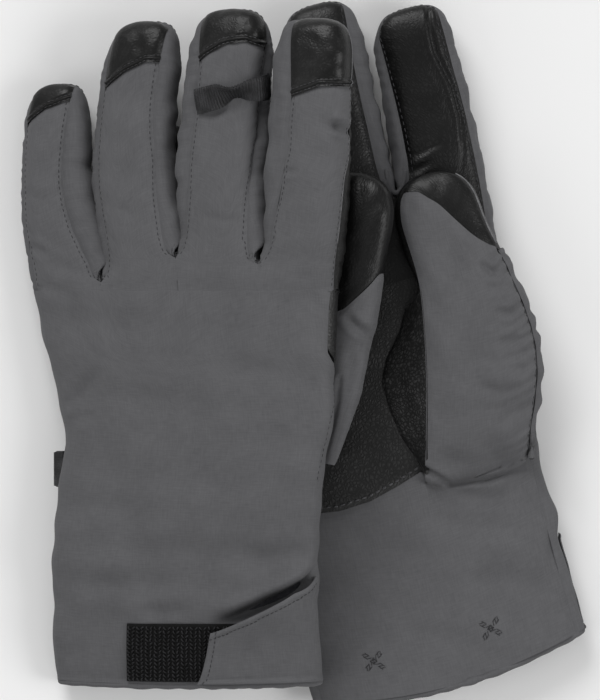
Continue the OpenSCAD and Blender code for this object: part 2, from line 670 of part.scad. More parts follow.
// Places of the two gloves
module left() {
    $curl = [left_curl, left_curl, left_curl, left_curl];
    $tuck = 0;
    $arch = hang_loop_arch;
    $shift = left_hem_shift;
    $hem = left_hem_t;
    $twist = left_cuff_twist;
    $droop = left_cuff_droop;
    $dip = left_hem_dip;
    $bulge = 0;
    translate([left_x, left_y, left_z]) rotate([0, -left_tilt, 0]) children();
}
module left_thumb() {
    left()
        translate([thumb_root_x, left_thumb_slide - thumb_back, left_thumb_rise])
        rotate([0, 0, -left_thumb_swing])
        translate([-thumb_root_x, thumb_back, 0])
        children();
}
module right() {
    $curl = [-right_pinky_press, -right_ring_press, right_middle_curl, right_index_curl];
    $tuck = right_pinky_tuck;
    $arch = pressed_loop_arch;
    $shift = right_hem_shift;
    $hem = right_hem_t;
    $twist = 0;
    $droop = 0;
    $dip = right_hem_dip;
    $bulge = right_thumb_bulge;
    translate([right_x, right_y, right_z]) rotate([0, 0, right_turn]) mirror([0, 0, 1]) children();
}

left() back_panel();  // left_back_panel
left() palm_panel();  // left_palm_panel
left() side_gussets();  // left_side_gussets
left() cuff_palm();  // left_cuff_palm
left() insulation();  // left_insulation
left() lining();  // left_lining
left() hem_binding();  // left_hem_binding
left() loop_pad();  // left_loop_pad
left() pull_tab();  // left_pull_tab
left() crossed_tacks();  // left_crossed_tacks
left() cuff_tab();  // left_cuff_tab
left() hook_pad();  // left_hook_pad
left() hang_loop();  // left_hang_loop
left_thumb() thumb_back_cloth();  // left_thumb_back
left_thumb() thumb_leather();  // left_thumb_leather
left_thumb() thumb_side();  // left_thumb_side
left_thumb() thumb_lining();  // left_thumb_lining
left() finger_back(PINKY, 0, 1);  // left_pinky_back
left() finger_leather(PINKY, 0, 1);  // left_pinky_leather
left() finger_fourchettes(PINKY, 0, 1);  // left_pinky_fourchettes
left() finger_lining(PINKY, 0, 1);  // left_pinky_lining
left() finger_back(RING, 0, 1);  // left_ring_back
left() finger_leather(RING, 0, 1);  // left_ring_leather
left() finger_fourchettes(RING, 0, 1);  // left_ring_fourchettes
left() finger_lining(RING, 0, 1);  // left_ring_lining
left() finger_back(MIDDLE, 0, 1);  // left_middle_back
left() finger_leather(MIDDLE, 0, 1);  // left_middle_leather
left() finger_fourchettes(MIDDLE, 0, 1);  // left_middle_fourchettes
left() finger_lining(MIDDLE, 0, 1);  // left_middle_lining
left() finger_back(INDEX, 0, 1);  // left_index_back
left() finger_leather(INDEX, 0, 1);  // left_index_leather
left() finger_fourchettes(INDEX, 0, 1);  // left_index_fourchettes
left() finger_lining(INDEX, 0, 1);  // left_index_lining
right() back_panel();  // right_back_panel
right() palm_panel();  // right_palm_panel
right() side_gussets();  // right_side_gussets
right() cuff_palm();  // right_cuff_palm
right() insulation();  // right_insulation
right() lining();  // right_lining
right() hem_binding();  // right_hem_binding
right() loop_pad();  // right_loop_pad
right() pull_tab();  // right_pull_tab
right() crossed_tacks();  // right_crossed_tacks
right() cuff_tab();  // right_cuff_tab
right() hook_pad();  // right_hook_pad
right() hang_loop();  // right_hang_loop
right() thumb_back_cloth();  // right_thumb_back
right() thumb_leather();  // right_thumb_leather
right() thumb_side();  // right_thumb_side
right() thumb_lining();  // right_thumb_lining
right() finger_backs();  // right_finger_backs
right() finger_leathers();  // right_finger_leathers
right() finger_fourchettes_all();  // right_finger_fourchettes
right() finger_linings();  // right_finger_linings
right() finger_back(INDEX, bend_at, 1);  // right_index_tip_back
right() finger_leather(INDEX, bend_at, 1);  // right_index_tip_leather
right() finger_fourchettes(INDEX, bend_at, 1);  // right_index_tip_fourchettes
right() finger_lining(INDEX, bend_at, 1);  // right_index_tip_lining
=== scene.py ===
import bpy
import math
import numpy as np
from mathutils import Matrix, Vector


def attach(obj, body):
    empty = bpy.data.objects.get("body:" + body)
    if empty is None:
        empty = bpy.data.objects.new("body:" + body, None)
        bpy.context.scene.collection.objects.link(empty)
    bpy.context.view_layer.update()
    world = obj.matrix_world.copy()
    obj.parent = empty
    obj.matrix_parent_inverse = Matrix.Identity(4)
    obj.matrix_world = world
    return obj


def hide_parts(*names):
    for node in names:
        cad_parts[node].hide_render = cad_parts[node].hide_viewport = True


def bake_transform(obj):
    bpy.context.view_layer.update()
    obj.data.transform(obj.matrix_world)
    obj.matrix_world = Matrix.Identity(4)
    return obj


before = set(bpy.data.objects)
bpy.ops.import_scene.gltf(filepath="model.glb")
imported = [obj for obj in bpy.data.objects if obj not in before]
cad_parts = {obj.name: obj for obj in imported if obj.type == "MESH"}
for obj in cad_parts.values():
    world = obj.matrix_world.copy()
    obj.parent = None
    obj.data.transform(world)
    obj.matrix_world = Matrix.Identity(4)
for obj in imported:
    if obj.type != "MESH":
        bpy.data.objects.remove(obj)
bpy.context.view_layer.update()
print("frame loaded:", len(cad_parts), "nodes")

# Both gloves, in millimetres, each in its own frame: x to the thumb side, y to the fingertips, z off the back
gloveSize = {
    "handLength": 70.0, "wristWidth": 110.0, "knuckleWidth": 130.0, "wristHeight": 20.0, "handHeight": 22.0,
    "knuckleShift": -5.0, "cuffLength": 90.0, "hemWidth": 106.0, "knuckleFold": 70.6, "fingerStart": 60.0,
    "fingerWidth": (29.0, 32.0, 34.5, 34.5), "fingerLength": (72.0, 96.0, 101.0, 96.0),
    "fingerLean": (-2.0, 2.5, 4.0, 4.0), "fingerBow": (-4.0, -4.0, -1.5, 1.5),
    "fingerHeight": (17.5, 21.0, 21.0, 21.0), "fingerTaper": 3.0, "fingerSlim": 5.0, "tipDome": 20.0,
    "thumbLength": 118.0, "thumbWidth": 46.0, "thumbTipWidth": 34.0, "thumbHeight": 14.5, "thumbRootHeight": 8.0,
    "thumbRootX": 28.0, "thumbX": 43.0, "thumbBack": 20.0, "thumbOpen": 52.0, "thumbSeat": -0.15,
    "thumbSwing": 8.6, "thumbSlide": 12.0, "thumbRise": 0.3, "domePower": 3.3, "thumbDomePower": 2.5,
    "thumbRound": 15.0, "leanFrom": 68.0, "leanFade": 45.0, "partLength": (10.0, 16.0), "forkOverlap": 0.2, "thin": 0.02,
    "flankShare": 0.868, "flankTo": (0.62, 0.16), "shiftTo": (0.62, 0.25),
}
# How each glove lies
lay = {
    "left": {"hemShift": -9.0, "hemHeight": 21.0, "twist": 9.0, "droop": 14.0, "dip": 1.5, "curl": (1, 1, 1, 1),
             "tuck": 0.0, "bulge": 0.0, "tilt": 22.5, "at": (-40.4, -36.0, 35.5914), "backLimit": 99.0,
             "drawBack": (1.4, 1.2, 1.8, 0.6), "hemAt": -92.0, "rootLean": 5.0,
             "partPalm": (60.0, 80.0, 84.0, 84.0, 60.0), "flare": 0.0, "thumbShift": 0.0},
    "right": {"hemShift": -3.0, "hemHeight": 13.5, "twist": 0.0, "droop": 0.0, "dip": 8.0,
              "curl": (-2.4, -1.0, 2.5, 3.0), "tuck": 2.0, "bulge": 7.5, "turn": 15.0, "at": (35.6, -35.0, 10.7),
              "backLimit": 10.7, "drawBack": (0.0, 0.0, -1.6, 4.0), "hemAt": -90.0, "rootLean": 0.0,
              "partPalm": (60.0, 86.0, 92.0, 93.0, 60.0), "flare": 4.0, "thumbShift": -2.6},
}
fingerNames = ("pinky", "ring", "middle", "index")
laneStart = gloveSize["knuckleShift"] - gloveSize["knuckleWidth"] / 2
laneMid = [laneStart + sum(gloveSize["fingerWidth"][:i]) + gloveSize["fingerWidth"][i] / 2 for i in range(4)]
# Millimetres a pixel, the pixel in the middle of the photograph and the place under it
photoScale, photoMiddle, photoCentre = 0.39, (300, 350), (-0.4, 1.0)
wallThickness = 1.2


# Eased step from 0 to 1: three times the square less twice the cube
def smooth(f):
    f = np.clip(f, 0, 1)
    return f * f * (3 - 2 * f)


# A table of places as a soft curve: the lines between them, smoothed by a bell window over a share of the range
def curve(at, xs, ys, soft=0.1):
    fine = np.linspace(xs[0], xs[-1], 401)
    reach = max(1, int(200 * soft))
    window = np.hanning(2 * reach + 3)[1:-1]
    line = np.pad(np.interp(fine, xs, ys), reach, mode="reflect", reflect_type="odd")
    return np.interp(at, fine, np.convolve(line, window / window.sum(), "valid"))


# Rounded box of half size 1: both coordinates are the 2/3 power of the cosine and the sine, signs kept
def roundBox(angle):
    c, s = np.cos(angle), np.sin(angle)
    return np.sign(c) * np.abs(c) ** (2 / 3), np.sign(s) * np.abs(s) ** (2 / 3)


# Angle of the rounded box at which the back has the given share of the half width
def backAngle(share):
    return np.clip(np.degrees(np.arccos(np.clip(np.sign(share) * np.abs(share) ** 1.5, -1, 1))), 0.5, 179.5)


# Angles between two borders, evenly spaced by the length of the section; rows may have borders of their own
def evenAngles(first, last, count, halfWidth, halfHeight):
    low, high = np.mean(first), np.mean(last)
    fine = np.linspace(low, high, 2001)
    cu, cv = roundBox(np.radians(fine))
    step = np.hypot(np.diff(cu * halfWidth), np.diff(cv * halfHeight))
    run = np.concatenate([[0], np.cumsum(step)]) / step.sum()
    share = (np.interp(np.linspace(0, 1, count), run, fine) - low) / (high - low)
    first, last = np.atleast_1d(first)[:, None], np.atleast_1d(last)[:, None]
    return np.radians(first + (last - first) * share[None, :])


# From a glove's own frame to the shared frame: the left one is tilted about y, the right one turned over and round z
def toWorld(side, p):
    x, y, z = p[..., 0], p[..., 1], p[..., 2]
    at = lay[side]["at"]
    if side == "left":
        c, s = math.cos(math.radians(lay[side]["tilt"])), math.sin(math.radians(lay[side]["tilt"]))
        return np.stack([at[0] + c * x - s * z, at[1] + y, at[2] + s * x + c * z], -1)
    c, s = math.cos(math.radians(lay[side]["turn"])), math.sin(math.radians(lay[side]["turn"]))
    return np.stack([at[0] + c * x - s * y, at[1] + s * x + c * y, at[2] - z], -1)


# Middle, half width and half height of hand and cuff at y, as straight and eased mixes of hem, wrist and knuckles
def trunkFrame(side, y):
    g, l = gloveSize, lay[side]
    up, down = np.clip(y / g["handLength"], 0, 1), np.clip(-y / g["cuffLength"], 0, 1)
    late = 1 - (1 - down) ** 2
    midX = g["knuckleShift"] * smooth(up) + l["hemShift"] * late
    halfW = np.where(y >= 0, g["wristWidth"] + (g["knuckleWidth"] - g["wristWidth"]) * up,
                     g["wristWidth"] + (g["hemWidth"] - g["wristWidth"]) * down) / 2
    halfH = np.where(y >= 0, g["wristHeight"] + (g["handHeight"] - g["wristHeight"]) * smooth(up),
                     g["wristHeight"] + (l["hemHeight"] - g["wristHeight"]) * late) / 2
    return midX, -l["droop"] * down ** 2, halfW, halfH, -math.radians(l["twist"]) * smooth(down), down


# Surface of the hand and cuff: the rounded box of that frame, rolled in the cuff, its hem dipping by a parabola
def trunkSurface(side, y, angle, depth=0.0):
    y, angle = np.broadcast_arrays(np.asarray(y, float), angle)
    midX, midZ, halfW, halfH, roll, down = trunkFrame(side, y)
    cu, cv = roundBox(angle)
    x = cu * (halfW - depth) + lay[side]["flare"] * down * np.maximum(cu, 0) ** 2
    z = np.minimum(cv * (halfH - depth), lay[side]["backLimit"] - depth)
    yDip = y - lay[side]["dip"] * down ** 2 * (1 - cu ** 2)
    skin = np.stack([midX + x * np.cos(roll) - z * np.sin(roll), yDip, midZ + x * np.sin(roll) + z * np.cos(roll)], -1)
    return toWorld(side, skin), toWorld(side, np.stack([midX, yDip, midZ], -1))


# Levels along y at which the fingers part on the back, at both sides of each finger
partBack = (60.0, 63.5, 73.0, 70.5, 60.0)


# How far a domed tip has narrowed, a squarish quarter round over the last 20 mm
def tipShare(reach, length):
    power, start = gloveSize["domePower"], 1 - gloveSize["tipDome"] / length
    return (1 - np.clip((reach - start) / (1 - start), 0, 1) ** power) ** (1 / power)


# Surface of a finger: a tapering rounded box with a domed tip that grows out of the hand's own profile at its root
def fingerSurface(side, i, y, angle, depth=0.0):
    g, l = gloveSize, lay[side]
    y, angle = np.broadcast_arrays(np.asarray(y, float), angle)
    length, knuckle, thin = g["fingerLength"][i], g["knuckleWidth"] / 2, g["thin"]
    reach = np.clip((y - g["knuckleFold"]) / length, 0, 1)
    start, tip = 1 - g["tipDome"] / length, tipShare(reach, length)
    handX, _, handW, handH, _, _ = trunkFrame(side, np.clip(y, 0, g["handLength"]))
    halfW = (g["fingerWidth"][i] / 2 * handW / knuckle - g["fingerSlim"] / 2 * smooth(reach / start)) * tip - depth
    halfH = (g["fingerHeight"][i] / 2 - g["fingerTaper"] / 2 * reach) * tip - depth
    midX = handX + (laneMid[i] - g["knuckleShift"]) / knuckle * handW
    midX = midX + reach * length * math.tan(math.radians(g["fingerLean"][i]))
    midX = midX + g["fingerBow"][i] * 4 * reach * (1 - reach)
    midX = midX + (l["tuck"] if i == 0 else 0) * np.minimum(1, 2 * reach)
    midZ = -l["curl"][i] * reach ** 2
    cu, cv = roundBox(angle)
    low = np.where(cv > 0, partBack[i], l["partPalm"][i])
    high = np.where(cv > 0, partBack[i + 1], l["partPalm"][i + 1])
    # neighbours overlap a little below the forks
    overlap = g["forkOverlap"] * (1 - smooth((y - np.where(cu > 0, high, low) + 1) / 2))
    x = midX + cu * np.maximum(halfW + overlap, thin)
    lean = l["rootLean"] * (1 - smooth((y - g["leanFrom"]) / g["leanFade"]))
    x = x + lean * (1 - np.minimum(1, np.abs((x - handX) / handW)) ** 3)
    own = midZ + cv * np.maximum(halfH, thin)
    handShare = np.clip((x - handX) / handW, -1, 1)
    hand = np.sign(cv) * (handH - depth) * np.cbrt(1 - np.abs(handShare) ** 3)
    share, part = (cu + 1) / 2, np.where(cv > 0, *g["partLength"])
    parted = smooth((y - low) / part) * (1 - share) + smooth((y - high) / part) * share
    z = np.minimum(hand + (own - hand) * parted, l["backLimit"] - depth)
    y = y - l["drawBack"][i] * smooth(reach)
    return toWorld(side, np.stack([x, y, z], -1)), toWorld(side, np.stack([midX, y, midZ], -1))


# Surface of a thumb: a rounded box that lies on the palm, thin at its root and domed at its tip
def thumbSurface(side, far, angle, depth=0.0):
    g, l = gloveSize, lay[side]
    far, angle = np.broadcast_arrays(np.asarray(far, float), angle)
    reach, power, thin = np.clip(far / g["thumbLength"], 0, 1), g["thumbDomePower"], g["thin"]
    start = 1 - g["tipDome"] / g["thumbLength"]
    tip = (1 - np.clip((reach - start) / (1 - start), 0, 1) ** power) ** (1 / power)
    swell = l["bulge"] / 2 * np.sin(np.pi * reach ** 0.7) ** 3
    width = g["thumbWidth"] + (g["thumbTipWidth"] - g["thumbWidth"]) * smooth(reach / start)
    halfW = (width / 2 + swell) * tip - depth
    opened = smooth(far / g["thumbOpen"])
    full = (g["thumbRootHeight"] + (g["thumbHeight"] - g["thumbRootHeight"]) * opened) / 2
    y = far - g["thumbBack"]
    palm = trunkFrame(side, y)[3] + g["thumbSeat"]
    midX = g["thumbRootX"] + (g["thumbX"] - g["thumbRootX"]) * (1 - (1 - reach) ** 2) + swell
    past = lambda start, run: smooth((reach - start) / run)
    midX = midX + l["thumbShift"] * past(*g["shiftTo"])
    midZ = -palm - full
    cu, cv = roundBox(angle)
    if side == "right":  # the gusset closes the inner flank, so nothing bulges past the cloth's edge there
        cu = np.maximum(cu, -g["flankShare"] - (1 - g["flankShare"]) * past(*g["flankTo"]))
    x, z = midX + cu * np.maximum(halfW, thin), midZ + cv * np.maximum(full * tip - depth, thin)
    rounded = np.sqrt(1 - (1 - np.clip(far / g["thumbRound"], 0, 1)) ** 2)  # quarter circle down to the wrist seam
    z = np.where(cv < 0, -palm + (z + palm) * (thin + (1 - thin) * rounded), z)
    core = np.stack([midX, y, midZ], -1)
    skin = np.stack([x, y, z], -1)
    if side == "left":
        c, s = math.cos(math.radians(g["thumbSwing"])), math.sin(math.radians(g["thumbSwing"]))
        for p in (skin, core):
            dx, dy = p[..., 0] - g["thumbRootX"], p[..., 1] + g["thumbBack"]
            p[..., 0] = g["thumbRootX"] + dx * c + dy * s
            p[..., 1] = g["thumbSlide"] - g["thumbBack"] - dx * s + dy * c
            p[..., 2] += g["thumbRise"]
    return toWorld(side, skin), toWorld(side, core)


# Directions of length 1: each vector divided by its length
def unit(v):
    return v / np.maximum(np.linalg.norm(v, axis=-1, keepdims=True), 1e-9)


# Unit normals of a grid, the cross product of its two directions, turned away from the limb's middle
def gridNormals(skin, core):
    n = unit(np.cross(np.gradient(skin, axis=0), np.gradient(skin, axis=1)))
    return n if np.sum(n * (skin - core)) > 0 else -n


# Lengths from each border of a grid, summed along its columns and rows: first and last column, first and last row
def borderLengths(skin):
    across = np.linalg.norm(np.diff(skin, axis=1), axis=-1)
    along = np.linalg.norm(np.diff(skin, axis=0), axis=-1)
    a = np.concatenate([np.zeros((len(skin), 1)), np.cumsum(across, 1)], 1)
    b = np.concatenate([np.zeros((1, skin.shape[1])), np.cumsum(along, 0)], 0)
    return a, a[:, -1:] - a, b, b[-1:] - b


# Soft waves of cloth: a sum of sines with seeded directions and lengths near the given size
def ripple(u, v, seed, size, stretch=1.0, count=14):
    rng = np.random.default_rng(seed)
    turn, wave, phase = rng.uniform(0, np.pi, count), size * rng.uniform(0.6, 1.8, count), rng.uniform(0, 6.3, count)
    total = np.zeros(np.broadcast(u, v).shape)
    for k in range(count):
        total = total + np.sin(2 * np.pi * (u * np.cos(turn[k]) / stretch + v * np.sin(turn[k])) / wave[k] + phase[k])
    return total / math.sqrt(count / 2)


# Folds seen in the photograph: a line over its pixels, then depth and half width in millimetres. True stands for a fold
# that starts at a seam, at its full depth
creases = {
    "left": (
        (((360, 136), (352, 133), (344, 130), (336, 127), (326, 123)), 3.6, 1.6, True),
        (((354, 140), (338, 132), (318, 126), (306, 124)), 0.9, 3.4, True),
        (((281, 170), (289, 173), (299, 171)), 0.9, 1.2),
        (((288, 176), (283, 195), (274, 215)), 0.64, 2.0),
        (((24, 243), (36, 250), (52, 256)), 1.1, 1.6),
        (((38, 262), (66, 268), (90, 276)), 0.8, 2.6),
        (((36, 280), (60, 292), (84, 297)), 0.64, 2.6),
        (((62, 412), (76, 398), (92, 378), (104, 360)), 1.3, 2.6),
        (((64, 424), (80, 418), (98, 412)), 0.72, 2.2),
        (((300, 372), (312, 386), (320, 404), (324, 424)), 0.72, 2.6),
        (((296, 290), (312, 300), (326, 316)), 0.48, 3.0),
        (((200, 216), (225, 221), (246, 219)), 0.4, 1.6),
        (((112, 206), (130, 214), (142, 212)), 0.4, 1.8),
        (((200, 122), (212, 113), (226, 108), (250, 102)), 0.8, 2.0),
        (((62, 672), (84, 646), (104, 622), (128, 596)), 1.1, 4.2),
        (((58, 590), (90, 586), (130, 588), (170, 580)), 1.3, 4.5),
        (((130, 606), (165, 612), (205, 604)), 0.9, 3.0),
        (((236, 566), (270, 562), (314, 540)), 1.1, 4.2),
        (((206, 624), (234, 618), (260, 608), (286, 596), (308, 582), (324, 566), (340, 546)), 6.6, 2.6),
        (((104, 276), (102, 262), (100, 246), (98, 226)), 0.9, 0.9),
        (((181, 252), (179, 240), (178, 226), (177, 206)), 0.9, 0.9),
        (((263, 259), (260, 246), (258, 232), (257, 212)), 0.9, 0.9),
        (((290, 270), (300, 276), (316, 280)), 0.4, 2.0),
        (((20, 190), (34, 196), (48, 197)), 0.48, 2.0),
        (((342, 314), (358, 328), (374, 338), (386, 342)), 2.0, 1.6),
        (((348, 345), (352, 372), (346, 400)), 0.64, 2.2),
        (((340, 378), (337, 404), (331, 430), (325, 456), (319, 482)), 0.8, 0.9, True),
    ),
    "right": (
        (((478, 262), (492, 272), (506, 272)), 1.3, 1.5),
        (((484, 290), (500, 288), (512, 284)), 0.9, 1.5),
        (((492, 312), (510, 312), (522, 306)), 1.1, 1.5),
        (((496, 345), (516, 340), (530, 332)), 0.96, 1.7),
        (((470, 386), (500, 391), (530, 384)), 0.88, 2.2),
        (((500, 372), (516, 368), (532, 372)), 0.8, 1.6),
        (((476, 356), (496, 362), (520, 356)), 0.48, 2.0),
        (((430, 448), (452, 463), (490, 466), (526, 450)), 0.8, 3.0),
        (((448, 494), (490, 500), (524, 492)), 0.96, 2.2),
        (((420, 520), (470, 528), (520, 532), (548, 526)), 0.8, 3.4),
        (((340, 545), (400, 556), (450, 552)), 0.72, 4.0),
        (((552, 524), (553, 560), (557, 590)), 0.96, 2.4),
        (((460, 585), (500, 578), (545, 580)), 0.64, 4.0),
        (((330, 600), (370, 606), (420, 598)), 0.64, 4.0),
        (((390, 630), (440, 640), (480, 636)), 0.8, 4.0),
        (((428, 2), (430, 26), (436, 52), (453, 86), (461, 116), (464, 152), (460, 176)), 1.0, 0.9, True),
        (((424, 470), (450, 483), (490, 479), (534, 464)), 2.4, 1.1, True),
        (((404, 160), (425, 150), (448, 138)), 0.56, 1.4),
        (((404, 175), (420, 168), (436, 158)), 0.56, 1.2),
    ),
}


# The photograph's pixel under a point: shifted from the middle of the frame and divided by the scale, y downwards
def photoPlace(world):
    x, y = (world[..., k] - photoCentre[k] for k in (0, 1))
    return photoMiddle[0] + x / photoScale, photoMiddle[1] - y / photoScale


# Depth of the folds at each point: a bell-shaped trough with low shoulders about each line, fading to its ends, on
# faces that look up
def creaseField(side, world, normal):
    px, py = photoPlace(world)
    total = np.zeros(px.shape)
    for path, depth, width, *seam in creases[side]:
        path = np.array(path, float)
        best, place, run = np.full(px.shape, 1e9), np.zeros(px.shape), 0.0
        for a, b in zip(path[:-1], path[1:]):
            d = b - a
            size = np.hypot(*d)
            t = np.clip(((px - a[0]) * d[0] + (py - a[1]) * d[1]) / size ** 2, 0, 1)
            gap = np.hypot(px - a[0] - t * d[0], py - a[1] - t * d[1])
            place = np.where(gap < best, run + t * size, place)
            best = np.minimum(best, gap)
            run += size
        fade = smooth((run - place) / (0.4 * run)) * (1.0 if seam else smooth(place / (0.3 * run)))
        d = best * photoScale / width
        total += depth * fade * (0.35 * np.exp(-(d - 2.0) ** 2) - np.exp(-d ** 2))
    return total * np.clip(normal[..., 2], 0, 1)


# A part of a mesh: points in millimetres, quads, a cloth map in millimetres and the edges that stay sharp
def meshPart(points, faces, uv=None, sharp=np.zeros((0, 2), int)):
    return {"points": points, "faces": faces, "uv": points[:, :2] if uv is None else uv, "sharp": sharp}


# Quads of a grid whose columns close into rings
def ringQuads(index):
    return np.stack([index[:-1], np.roll(index[:-1], -1, 1), np.roll(index[1:], -1, 1), index[1:]], -1).reshape(-1, 4)


# Keeps points just above what the gloves lie on
def offFloor(points, gap=0.05):
    points[..., 2] = np.maximum(points[..., 2], gap)
    return points


# A wall of cloth or leather as a closed shell: the skin, the same grid moved inwards by the wall, and four edge strips
def shellPart(skin, normal, wall=wallThickness, uv=None):
    rows, cols = skin.shape[:2]
    points = np.concatenate([skin.reshape(-1, 3), (skin - normal * wall).reshape(-1, 3)])
    index = np.arange(rows * cols).reshape(rows, cols)
    quads = np.stack([index[:-1, :-1], index[:-1, 1:], index[1:, 1:], index[1:, :-1]], -1).reshape(-1, 4)
    ring = np.concatenate([index[0, :-1], index[:-1, -1], index[-1, :0:-1], index[:0:-1, 0]])
    after = np.roll(ring, -1)
    rim = np.stack([ring, ring + rows * cols, after + rows * cols, after], -1)
    a, b, c = points[quads[:, 0]], points[quads[:, 1]], points[quads[:, 3]]
    if np.sum(np.cross(b - a, c - a) * normal[:-1, :-1].reshape(-1, 3)) < 0:  # the skin's faces point outwards
        quads, rim = quads[:, ::-1], rim[:, ::-1]
    if uv is None:
        u, _, v, _ = borderLengths(skin)
        uv = np.stack([u, v], -1)
    edge = np.stack([ring, after], -1)
    return meshPart(points, np.concatenate([quads, quads[:, ::-1] + rows * cols, rim]),
                    np.concatenate([uv.reshape(-1, 2)] * 2), np.concatenate([edge, edge + rows * cols]))


# Rings that follow each other: the last joins the first again, or fans to their middles shut both ends
def closedPart(rings, loop=False):
    rows, cols = rings.shape[:2]
    points, index = rings.reshape(-1, 3), np.arange(rows * cols).reshape(rows, cols)
    if loop:
        return meshPart(points, ringQuads(np.concatenate([index, index[:1]])))
    first, last, middle = index[0], index[-1], np.full(cols, rows * cols)
    near = np.stack([np.roll(first, -1), first, middle, middle], -1)
    farEnd = np.stack([last, np.roll(last, -1), middle + 1, middle + 1], -1)
    points = np.concatenate([points, rings[0].mean(0)[None], rings[-1].mean(0)[None]])
    return meshPart(points, np.concatenate([ringQuads(index), near, farEnd]))


# One mesh object from its parts: quads whose last two corners are the same become triangles
def makePiece(name, parts, material):
    base = np.cumsum([0] + [len(part["points"]) for part in parts])
    points, uv = (np.concatenate([part[key] for part in parts]) for key in ("points", "uv"))
    faces, sharp = (np.concatenate([part[key] + k for part, k in zip(parts, base)]) for key in ("faces", "sharp"))
    points = offFloor(points, 0.02)
    corners = np.where(faces[:, 2] == faces[:, 3], 3, 4)
    loops = faces.reshape(-1)[(np.arange(4)[None, :] < corners[:, None]).reshape(-1)]
    starts = np.concatenate([[0], np.cumsum(corners)[:-1]])
    mesh = bpy.data.meshes.new(name)
    mesh.vertices.add(len(points))
    mesh.vertices.foreach_set("co", (points * 0.001).astype(np.float32).ravel())
    mesh.loops.add(len(loops))
    mesh.loops.foreach_set("vertex_index", loops.astype(np.int32))
    mesh.polygons.add(len(faces))
    mesh.polygons.foreach_set("loop_start", starts.astype(np.int32))
    mesh.update(calc_edges=True)
    mesh.validate()
    layer = mesh.uv_layers.new(name="clothMap")
    order = np.zeros(len(mesh.loops), np.int32)
    mesh.loops.foreach_get("vertex_index", order)
    layer.data.foreach_set("uv", uv[order].astype(np.float32).ravel())
    mesh.shade_smooth()
    if len(sharp):
        ends = np.zeros(len(mesh.edges) * 2, np.int32)
        mesh.edges.foreach_get("vertices", ends)
        key = lambda pairs: np.sort(pairs, 1).astype(np.int64) @ np.array([len(points), 1])
        flag = mesh.attributes.new("sharp_edge", "BOOLEAN", "EDGE")
        flag.data.foreach_set("value", np.isin(key(ends.reshape(-1, 2)), key(sharp)))
    mesh.materials.append(material)
    piece = bpy.data.objects.new(name, mesh)
    bpy.context.scene.collection.objects.link(piece)
    return piece


# Small rounded threads along a line: six-sided spindles, laid on the surface every pitch millimetres, their ends sunk
def stitchPart(line, normal, pitch=2.3, length=1.5, radius=0.3, sink=0.05, cross=0.0):
    run = np.concatenate([[0], np.cumsum(np.linalg.norm(np.diff(line, axis=0), axis=1))])
    count = max(1, int(run[-1] / pitch))
    at = (np.arange(count) + 0.5) * run[-1] / count
    along = lambda at, path: np.stack([np.interp(at, run, path[:, k]) for k in range(3)], -1)
    centre, up = along(at, line), unit(along(at, normal))
    ahead = along(at + 0.4, line) - along(at - 0.4, line)
    ahead = unit(ahead - up * np.sum(ahead * up, 1, keepdims=True))
    side = np.cross(up, ahead)
    c, s = math.cos(cross), math.sin(cross)
    ahead, side = ahead * c + side * s, side * c - ahead * s
    t = np.array([-1.0, -0.75, 0.0, 0.75, 1.0])
    girth = radius * np.array([0.25, 0.8, 1.0, 0.8, 0.25])[:, None]
    turn = np.linspace(0, 2 * np.pi, 6, endpoint=False)
    high = girth * np.sin(turn) + radius * 0.5 - sink - 0.35 * radius * (t ** 2)[:, None]
    ring = (centre[:, None, None] + ahead[:, None, None] * (t * length / 2)[None, :, None, None]
            + side[:, None, None] * (girth * np.cos(turn))[None, :, :, None]
            + up[:, None, None] * high[None, :, :, None])
    caps = np.array([[0, 5, 4, 3], [0, 3, 2, 1], [24, 25, 26, 27], [24, 27, 28, 29]])
    one = np.concatenate([ringQuads(np.arange(30).reshape(5, 6)), caps])[:, ::-1]
    return meshPart(ring.reshape(-1, 3), (one[None] + (np.arange(count) * 30)[:, None, None]).reshape(-1, 4))


# A thin welt along a sewn edge: a round section carried along the line, its ends shut
def weltPart(line, normal, radius):
    ahead = unit(np.gradient(line, axis=0))
    side = unit(np.cross(normal, ahead))
    up = np.cross(ahead, side)
    turn = np.linspace(0, 2 * np.pi, 8, endpoint=False)[None, :, None]
    return closedPart(line[:, None] + radius * (side[:, None] * np.cos(turn) + up[:, None] * np.sin(turn)))


# sRGB hex value to linear colour
def hexColour(text):
    value = np.array([int(text[k:k + 2], 16) / 255 for k in (1, 3, 5)])
    linear = np.where(value <= 0.04045, value / 12.92, ((value + 0.055) / 1.055) ** 2.4)
    return tuple(linear) + (1.0,)


# Adds a node with its settings; an input is a value or the socket that feeds it
def addNode(tree, kind, inputs=None, **settings):
    node = tree.nodes.new(kind)
    for key, value in settings.items():
        setattr(node, key, value)
    for key, value in (inputs or {}).items():
        if isinstance(value, bpy.types.NodeSocket):
            tree.links.new(value, node.inputs[key])
        else:
            node.inputs[key].default_value = value
    return node


# A new material, its node tree and its shader
def newMaterial(name):
    material = bpy.data.materials.new(name)
    material.use_nodes = True
    tree = material.node_tree
    return material, tree, tree.nodes["Principled BSDF"]


